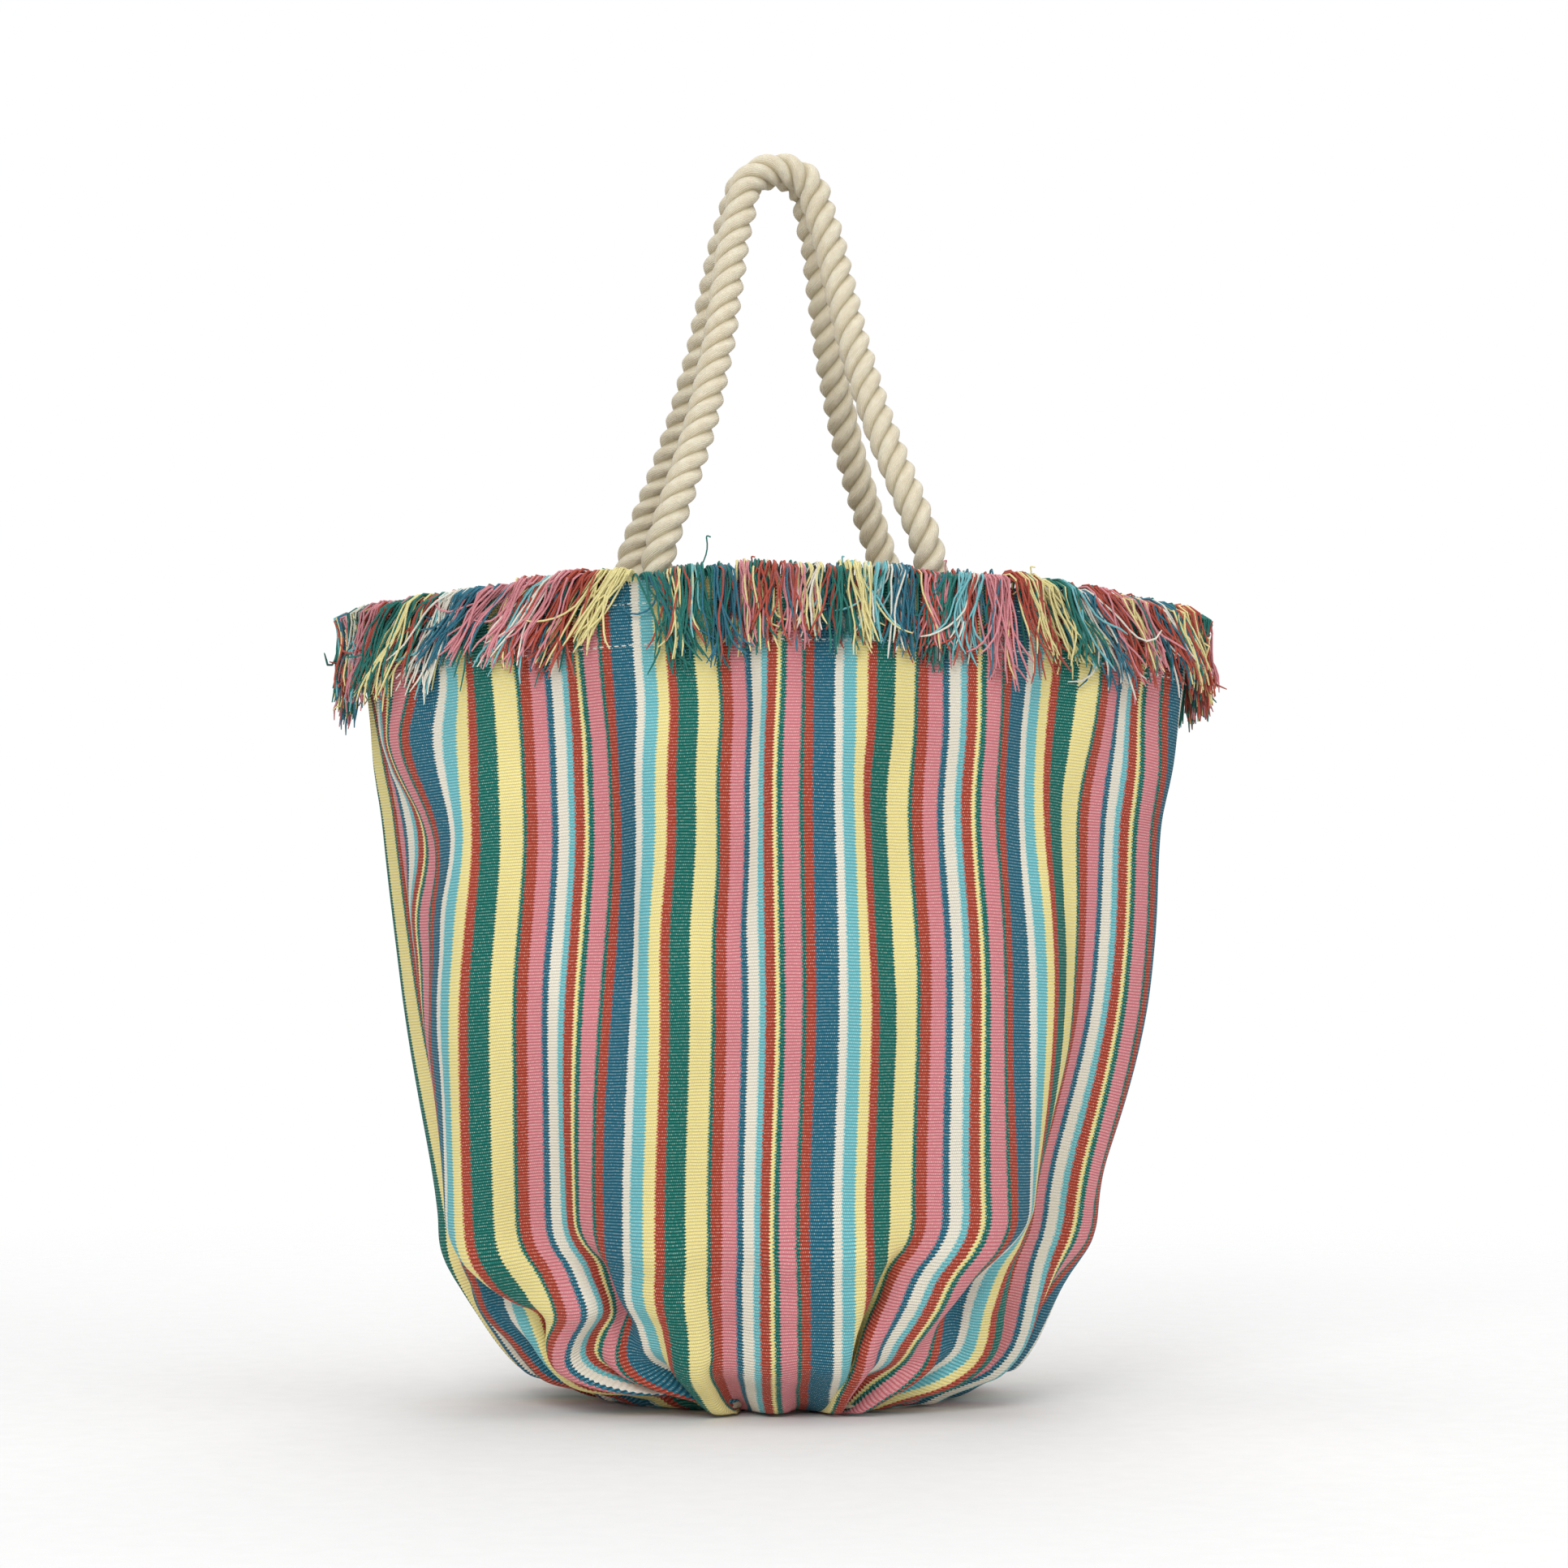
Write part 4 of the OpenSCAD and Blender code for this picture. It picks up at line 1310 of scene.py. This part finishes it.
        for i, (point, place) in enumerate(zip(spline.points, points)):
            point.co = (*place, 1)
            point.radius = 1.0 if i < len(points) - 1 else 0.55
        spline.material_index = DYE_NAMES.index(dye)
        spline.use_smooth = True


# ---------------------------------------------------------------- panel and run

BUILD_STEPS = (
    ("beach_bag_stage", "Stage"), ("beach_bag_handles", "Rope handles"),
    ("beach_bag_panels", "Striped panels"), ("beach_bag_base", "Base"),
    ("beach_bag_inside", "Facing and lining"), ("beach_bag_stitching", "Topstitching"),
    ("beach_bag_fringe", "Fringe"),
)
SETTINGS = (
    ("beach_bag_cloth", BeachBagCloth), ("beach_bag_rope", BeachBagRope),
    ("beach_bag_fringe", BeachBagFringe), ("beach_bag_stage", BeachBagStage),
)


class VIEW3D_PT_beach_bag(bpy.types.Panel):
    """Settings and building steps of the beach bag"""
    bl_idname = "VIEW3D_PT_beach_bag"
    bl_label = "Striped Beach Bag"
    bl_space_type = "VIEW_3D"
    bl_region_type = "UI"
    bl_category = "Beach Bag"

    def draw(self, context):
        for name, group in SETTINGS:
            box = self.layout.box()
            for key in group.__annotations__:
                box.prop(getattr(context.scene, name), key)
        for name, label in BUILD_STEPS:
            self.layout.operator("object." + name, text=label)


CLASSES = (
    BeachBagCloth, BeachBagRope, BeachBagFringe, BeachBagStage,
    OBJECT_OT_beach_bag_stage, OBJECT_OT_beach_bag_handles, OBJECT_OT_beach_bag_panels,
    OBJECT_OT_beach_bag_base, OBJECT_OT_beach_bag_inside, OBJECT_OT_beach_bag_stitching,
    OBJECT_OT_beach_bag_fringe, VIEW3D_PT_beach_bag,
)


def register():
    for cls in CLASSES:
        bpy.utils.register_class(cls)
    for name, group in SETTINGS:
        setattr(bpy.types.Scene, name, PointerProperty(type=group))


def unregister():
    for name, _ in SETTINGS:
        delattr(bpy.types.Scene, name)
    for cls in reversed(CLASSES):
        bpy.utils.unregister_class(cls)


def main():
    register()
    for name, _ in BUILD_STEPS:
        getattr(bpy.ops.object, name)()
    bpy.context.view_layer.update()


if __name__ == "__main__":
    main()
